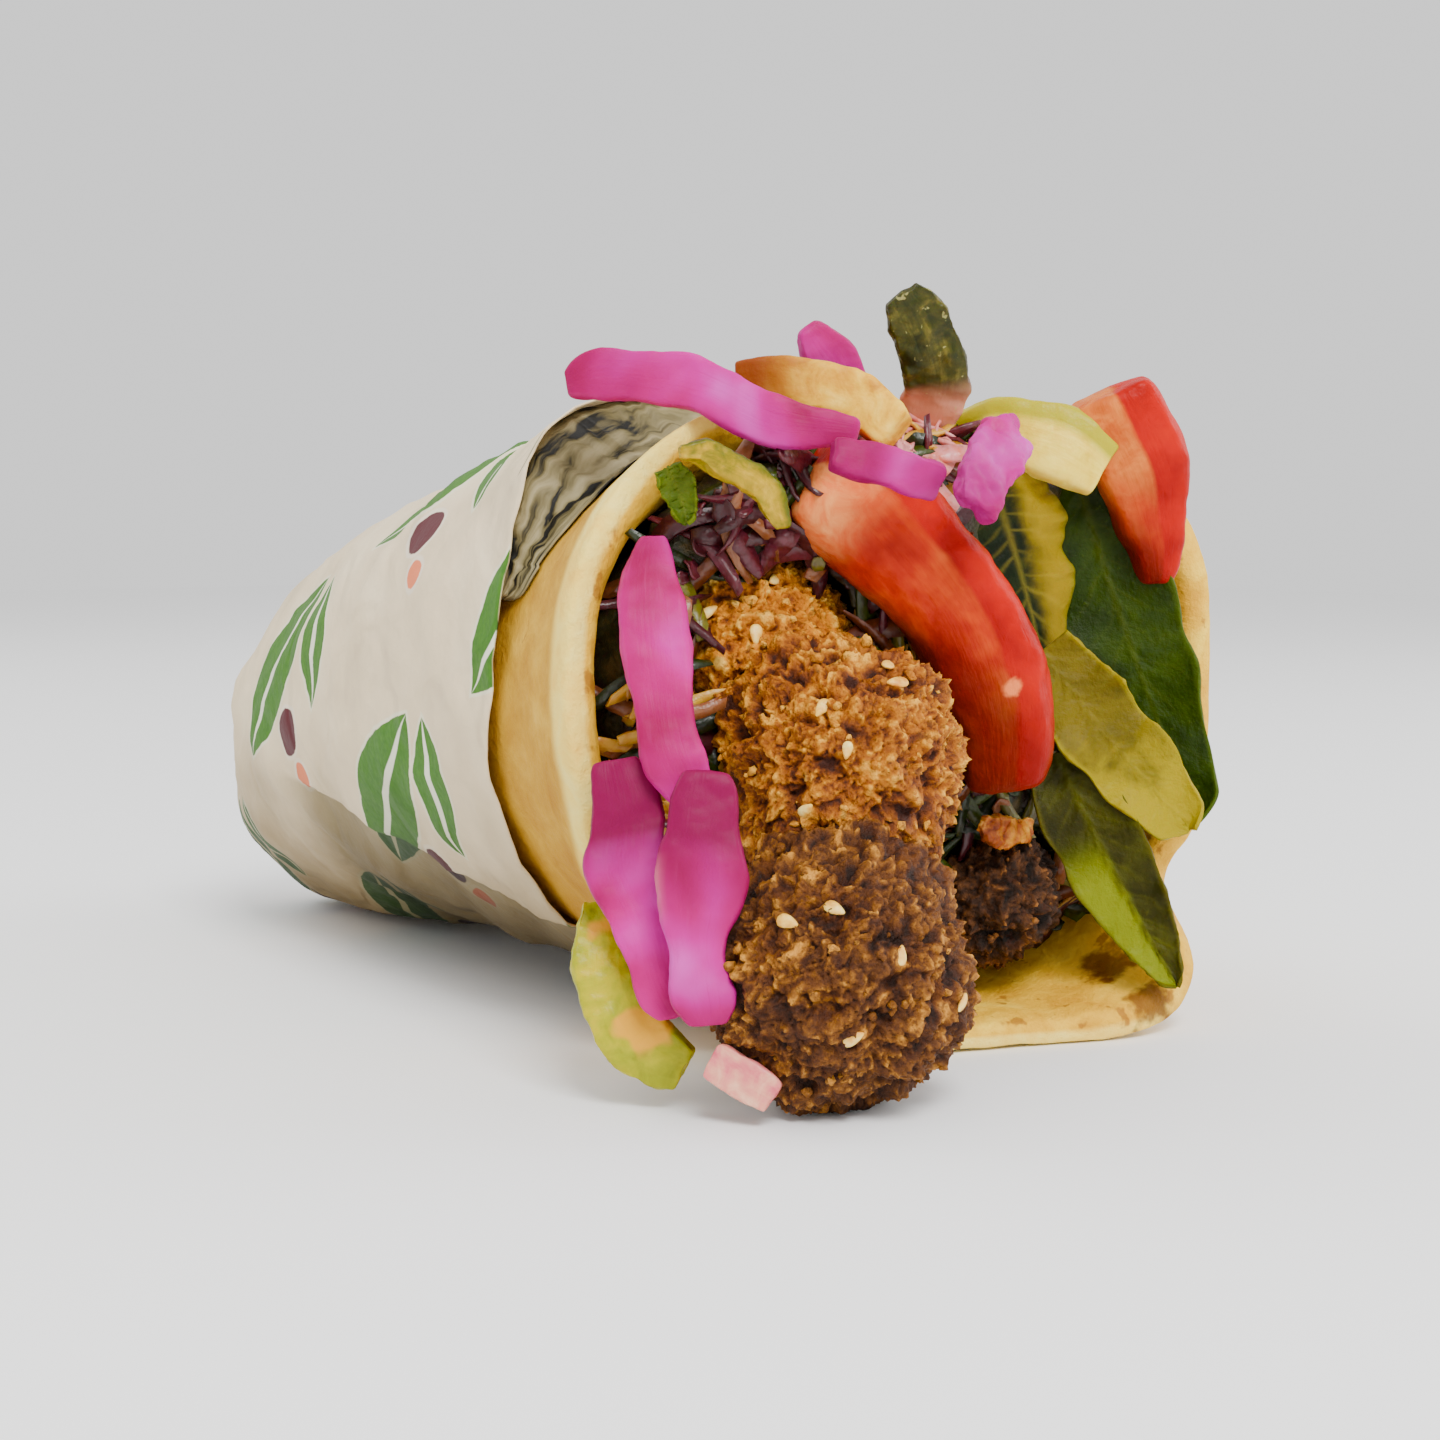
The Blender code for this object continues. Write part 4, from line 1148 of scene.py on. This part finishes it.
def tomatoFinish(name, v):
    place = newFinish(name, Roughness=0.36, Subsurface_Weight=0.1, Subsurface_Scale=0.002,
                      Subsurface_Radius=(1.0, 0.2, 0.08), Specular_IOR_Level=0.1)
    straight, ridge = kept("straight", "Vector"), v["ridge"]
    x, _, z = axes(straight)
    wander = times(minus(speckle(place, 9), 0.5), 3.0)
    across = plus(x, wander)
    fibre = streaked(straight, (0.9, 0.9, 0.2), 5.0, 0.6)
    soft = plus(times(fibre, 0.2), times(speckle(place, 8), 0.8))
    flesh = ramp(soft, (0.34, 150, 16, 0), (0.46, 176, 34, 0), (0.56, 196, 58, 4),
                 (0.70, 214, 90, 24))
    shade = level(minus(z, times(x, 1.2)), *v["shade"])
    flesh = mixed(times(shade, 0.8), flesh, (92, 8, 2))
    skin = ramp(speckle(place, 7), (0.3, 150, 2, 0), (0.55, 184, 12, 0), (0.8, 198, 30, 0))
    skin = mixed(times(shade, 0.75), skin, (110, 2, 0))
    colour = mixed(level(across, ridge - 0.7, ridge + 0.9), flesh, skin)
    pale = level(plus(z, wander), v["paleFrom"], v["paleFrom"] - 11)
    pale = times(pale, level(across, ridge + 0.9, ridge - 0.7))
    paler = ramp(speckle(place, 3.2, 4.0, 0.6, 0.6), (0.38, *v["paleTone"]), (0.66, *v["palest"]))
    colour = mixed(pale, colour, paler)
    if "fleck" in v:                 # a painted highlight spot
        apart = apartFrom(place, v["fleck"], 1.5, 2.0, 2)
        colour = mixed(level(apart, 2.6 * mm, 1.6 * mm), colour, (240, 130, 70))
    return coated(colour, (fibre, 0.2), (speckle(place, 3.5), 0.35), (speckle(place, 1.0, 2.0), 0.07))


for node, v in tomatoes.items():
    name = "tomatoWedge" + node[-1]
    finished(bentStick(name, {**plainStick, **v}), tomatoFinish(name, v), "tomato_flesh", node)
print("tomato made")


# Lettuce and herb leaves

# Cup and wave curl a leaf, tip is its width at the end, and lit says between which places across it, or along
# it, painted light turns the leaf to a lighter tone
leaves = dict(
    lettuce_leaf_1=dict(
        points=((28.6, -3.5, 77), (31.4, -8, 61), (35.0, -12, 46), (39.6, -17, 29)),
        width=18.0, facing=(-0.75, -0.6, 0.15), cup=1.4, wave=1.1, tip=0.6, name="greenLeaf1",
        tones=((22, 36, 0), (36, 54, 0), (54, 72, 0), (100, 106, 8)), edge=(66, 84, 0),
        lit=(1.5, 2.0, (46, 62, 0)),
    ),
    lettuce_leaf_2=dict(
        points=((11.8, -3.5, 77), (15.8, -5, 65), (20, -6.5, 50)),
        width=20.0, facing=(-0.3, -0.95, 0.0), cup=-1.2, wave=0.7, tip=0.5, name="greenLeaf2",
        tones=((6, 14, 0), (12, 26, 0), (32, 42, 0), (196, 176, 50)), edge=(112, 104, 8),
        lit=(0.45, 1.05, (140, 116, 2)), veined=0.45,
    ),
    lettuce_leaf_3=dict(
        points=((17.5, -8, 53), (24.0, -14, 42), (33.0, -21.5, 28.5)),
        width=13.0, facing=(-0.62, -0.75, 0.2), cup=1.0, wave=0.9, tip=0.8, name="paleLeaf",
        tones=((84, 74, 2), (104, 90, 8), (118, 102, 16), (138, 126, 40)), edge=(150, 134, 0),
        litBy="share", lit=(0.9, 1.2, (154, 136, 0)),
    ),
    lettuce_leaf_4=dict(
        points=((20.4, -8.5, 39), (23.2, -13.5, 27.5), (27.4, -18, 16), (30.6, -22, 7.2)),
        width=14.0, facing=(-0.75, -0.62, 0.1), cup=0.7, wave=0.4, tip=0.3, name="greenLeaf4",
        tones=((30, 30, 0), (44, 42, 0), (70, 70, 0), (120, 122, 4)), edge=(84, 78, 0),
        lit=(0.6, 0.2, (118, 126, 0)), litFrom=(0.28, 0.5),
    ),
    herb_leaf=dict(
        points=((-40.2, -1, 77.6), (-38.8, -1.5, 74.4), (-38.0, -2, 70.6)),
        width=5.0, facing=toViewer, cup=0.5, wave=0.3, tip=0.5, name="herbLeaf",
        tones=((36, 56, 0), (60, 78, 0), (88, 100, 8), (120, 120, 30)), edge=(90, 104, 8),
        lit=(1.5, 2.0, (60, 78, 0)),
    ),
)
leafMake = dict(rows=170, columns=58, sheet=0.55, veinGap=0.105, veinLean=0.16, ruffle=0.7)


def leafFinish(name, v):
    place = newFinish(name, Roughness=0.48, Specular_IOR_Level=0.12, Subsurface_Weight=0.1,
                      Subsurface_Scale=0.001)
    darkest, dark, light, rib = v["tones"]
    blotch = speckle(place, 8, 4.0, 0.6, 0.4)
    colour = ramp(blotch, (0.3, *darkest), (0.5, *dark), (0.72, *light))
    fine = speckle(place, 0.9, 3.0, 0.6)
    colour = mixed(level(fine, 0.6, 0.8), colour, light)
    side = plus(kept(v.get("litBy", "across")), times(blotch, 0.8))
    lit = times(level(side, *v["lit"][:2]), level(kept("share"), *v.get("litFrom", (-2, -1))))
    # painted light: between the lit places the leaf takes a lighter tone
    colour = mixed(lit, colour, v["lit"][2])
    colour = mixed(level(kept("rim"), 0.86, 1.0, 0.8), colour, v["edge"])
    colour = mixed(times(kept("vein"), v.get("veined", 0.4)), colour, rib)
    return coated(colour, (fine, 0.25), (speckle(place, 0.4, 2.0), 0.06))


def makeLeaf(node, v):
    small = node == "herb_leaf"
    piece = modelled(bpy.ops.mesh.primitive_grid_add, v["name"], size=2,
                     x_subdivisions=leafMake["columns"] // (2 if small else 1),
                     y_subdivisions=leafMake["rows"] // (3 if small else 1))
    grid = readPoints(piece)
    across, share = grid[:, 0], grid[:, 1] / 2 + 0.5
    place, side, out = curveFrames(v["points"], share, v["facing"])
    belly = 0.45 + 0.55 * np.sin(math.pi * (0.1 + 0.8 * share)) ** 0.8
    reach = v["width"] / 2 * belly * (1 - (1 - v["tip"]) * share ** 2)
    seed = sum(map(ord, node)) * 0.37
    wander = noiseAt(share * 7, np.copysign(2.0, across), seed)
    ruffle = noiseAt(share * 16, np.copysign(5.0, across), seed)
    reach = reach * (1 + 0.16 * wander * np.abs(across) ** 3)
    ends = 1 - 0.9 * np.clip((share - 0.94) / 0.06, 0, 1) ** 2
    rise = v["cup"] * across ** 2
    rise += leafMake["ruffle"] * 1.6 * ruffle * np.abs(across) ** 5 * (0.4 if small else 1)
    rise += v["wave"] * across ** 2 * np.sin(6 * math.pi * share + 1.7 * np.sign(across))
    lean = share - leafMake["veinLean"] * np.abs(across) ** 0.8 + 0.06 * wander + 0.03 * ruffle
    gap = leafMake["veinGap"]
    betweenVeins = np.mod(lean + 0.5 * gap * (across > 0), gap)
    near = np.abs(betweenVeins - gap / 2) * curveLength(v["points"])
    vein = np.exp(-(near / 0.3) ** 2) * (1 - 0.85 * np.abs(across)) * np.clip(0.7 + 0.9 * wander, 0, 1)
    midrib = np.exp(-(across * reach / (0.6 * (1.15 - share))) ** 2)
    vein = 0.4 * np.maximum(midrib, vein)
    puffed = np.sin(math.pi * betweenVeins / gap)
    rise += 0.25 * vein + 0.2 * (1 - np.abs(puffed)) * (1 - np.abs(across)) + 0.5 * wander * ruffle
    laid = fromMouth(place + side * (reach * across * ends)[:, None] + out * rise[:, None])
    writePoints(piece, onFloor(laid, 0.0008))
    for name, values in (("vein", vein), ("rim", np.abs(across)), ("across", across), ("share", share)):
        mark(piece, name, values)
    applied(piece, "SOLIDIFY", thickness=leafMake["sheet"] * mm, offset=0.0)
    finished(piece, leafFinish(v["name"], v), "lettuce_green", node)


for node, v in leaves.items():
    makeLeaf(node, v)
print("leaves made")


# Packed salad: its core with real shreds laid on the front

salad = dict(
    voxel=1.4, lumps=((6, 2.4), (2, 0.9)), shreds=620, flakes=420, seed=21, leafGap=3.5,
    fromAbove=0.25, above=((-42, 42), (-16, 12)),      # the share that lies on top, and across and along
    front=((-46, 46), (6, 86)), deepest=14,            # across and up in the mouth, and how far back
    shades=((28, 40, 0), (54, 66, 0), (104, 98, 6), (66, 16, 24), (92, 26, 40), (140, 84, 44), (180, 134, 60),
            (92, 42, 8), (222, 140, 136), (206, 156, 44)),
)


def saladFinish():
    place = newFinish("packedSalad", Roughness=0.5)
    # very dark: the salad's own mixed colour, with painted shade of the gaps between its pieces
    colour = ramp(speckle(place, 4.0, 4.0, 0.6, 0.8), (0.32, 20, 8, 5), (0.45, 46, 22, 12),
                  (0.55, 44, 44, 10), (0.7, 86, 66, 26))
    return coated(colour, (speckle(place, 1.0, 4.0), 0.6))


def shredFinish():
    place = newFinish("saladShreds", Roughness=0.36, Subsurface_Weight=0.15, Subsurface_Scale=0.001)
    shades = salad["shades"]
    kinds = ramp(kept("tint"), *[(k / len(shades), *shade) for k, shade in enumerate(shades)])
    kinds.node.color_ramp.interpolation = "CONSTANT"
    fine = speckle(place, 1.6)
    colour = mixed(level(fine, 0.4, 0.75), kinds, (150, 120, 70), "SOFT_LIGHT")
    return coated(colour, (fine, 0.3))


def shredShape():
    piece = block("shred", 2.4, 0.55, 18)
    editMode()
    bpy.ops.mesh.select_mode(type="EDGE")
    selectEdges(piece, lambda a, b: abs(a.z - b.z) > 15)
    bpy.ops.mesh.subdivide(number_cuts=7)
    objectMode()
    return shapeOf(piece)


def flakeShape():
    piece = modelled(bpy.ops.mesh.primitive_grid_add, "flake", size=3.4, x_subdivisions=4, y_subdivisions=4)
    points = readPoints(piece)
    points[:, 0] *= 1 - 0.25 * np.abs(points[:, 1])
    points[:, 2] = 0.18 * points[:, 0] ** 2 + 0.2 * np.sin(points[:, 1] * 2)
    writePoints(piece, points)
    applied(piece, "SOLIDIFY", thickness=0.3, offset=0.0)
    return shapeOf(piece)


def makeSalad():
    core = copyOfNode("salad_core", "packedSalad")
    applied(core, "REMESH", mode="VOXEL", voxel_size=salad["voxel"] * mm)
    for size, height in salad["lumps"]:
        unevened(core, size, height)
    finished(core, saladFinish(), "salad_mix", "salad_core")
    front, breadWall = treeOf("packedSalad"), treeOf("bakedBread")
    leafTrees = [treeOf(v["name"]) for v in leaves.values()]
    rng = np.random.default_rng(salad["seed"])

    def free(hit):                       # none starts right behind a leaf
        return hit and not any(tree.find_nearest(hit, salad["leafGap"] * mm)[0] for tree in leafTrees)

    def held(middle, points):            # the bread's wall keeps it in, and it crosses no leaf
        start = Vector(middle * mm)
        for end in (points.min(axis=0), points.max(axis=0), points[0], points[-1]):
            way = Vector(end * mm) - start
            if any(tree.ray_cast(start, way.normalized(), way.length + 0.0004)[0]
                   for tree in (breadWall, *leafTrees)):
                return None
        return points * mm

    def onFront():
        down = Vector((0, 0, -1))
        while True:
            if rng.random() < salad["fromAbove"]:
                x = rng.uniform(*salad["above"][0])
                start = spot(x, rng.uniform(*salad["above"][1]), 125)
                hit, normal, _, _ = front.ray_cast(start, down, 0.08)
                if free(hit) and normal.z > 0.3 and not breadWall.ray_cast(start, down, start.z - hit.z)[0]:
                    return x, hit.z / mm, np.array(hit) / mm, np.array(normal)
                continue
            x, z = (rng.uniform(*reach) for reach in salad["front"])
            start = spot(x, -60, z)
            hit, normal, _, _ = front.ray_cast(start, Vector((0, 1, 0)), 0.09)
            if free(hit) and hit.y / mm - mouth.y < salad["deepest"]:
                return x, z, np.array(hit) / mm, np.array(normal)

    chosen = {}

    def oneShred(k, points):
        x, z, place, normal = onFront()
        chosen[k] = (x, z)
        p = points.copy()
        length, wide = rng.uniform(0.45, 1.15), rng.uniform(0.5, 1.35)
        along = p[:, 2] / 9
        bow, curl = rng.uniform(-3.5, 3.5), rng.uniform(-1.2, 1.2)
        across = p[:, 0] * wide * (1 - 0.4 * along ** 4)
        p = np.column_stack((
            across * np.cos(curl * along) + bow * along ** 2,
            p[:, 1] + across * np.sin(curl * along) + 0.5 * np.sin(along * 5 + k),
            p[:, 2] * length,
        ))
        turned = turnTo(-normal, rng.uniform(0, 6.28))
        moved = p[:, (0, 2, 1)] @ turned.T
        return held(place + normal * 0.2, place + normal * rng.uniform(0.2, 1.4) + moved)

    def oneFlake(k, points):
        x, z, place, normal = onFront()
        chosen[k] = (x, z)
        turned = turnTo(Vector(normal) + Vector(rng.normal(size=3)) * 0.5, rng.uniform(0, 6.28))
        return (place + normal * rng.uniform(0.3, 1.6) + (points * rng.uniform(0.4, 1.1)) @ turned.T) * mm

    def kindOf(k):
        x, z = chosen[k]
        if -14 < x < 10 and z > 79:
            weights = (0, 0, 0, 1, 2, 0, 0, 0, 9, 1)     # pale onion at the top
        elif x < -15 and z > 55:
            weights = (1, 1, 1, 6, 5, 2, 1, 1, 0, 0)     # dark red cabbage at the upper left
        elif x < -33 and 34 < z < 54:
            weights = (1, 0, 0, 1, 0, 1, 3, 1, 0, 8)     # golden sauce in the gap at the left
        elif x > 5:
            weights = (8, 4, 1.5, 1, 0.5, 0.2, 0.3, 1, 0, 0)     # greens at the right
        else:
            weights = (3, 2, 1, 3, 2, 1, 1, 3, 0, 0)
        return (rng.choice(10, p=np.array(weights) / sum(weights)) + 0.5) / 10

    greens = shredFinish()
    shreds = scattered("saladShreds", salad["shreds"], *shredShape(), oneShred, kindOf)
    finished(shreds, greens, "salad_mix")
    flakes = scattered("saladFlakes", salad["flakes"], *flakeShape(), oneFlake, kindOf)
    finished(flakes, greens, "salad_mix")


makeSalad()
print("salad made")
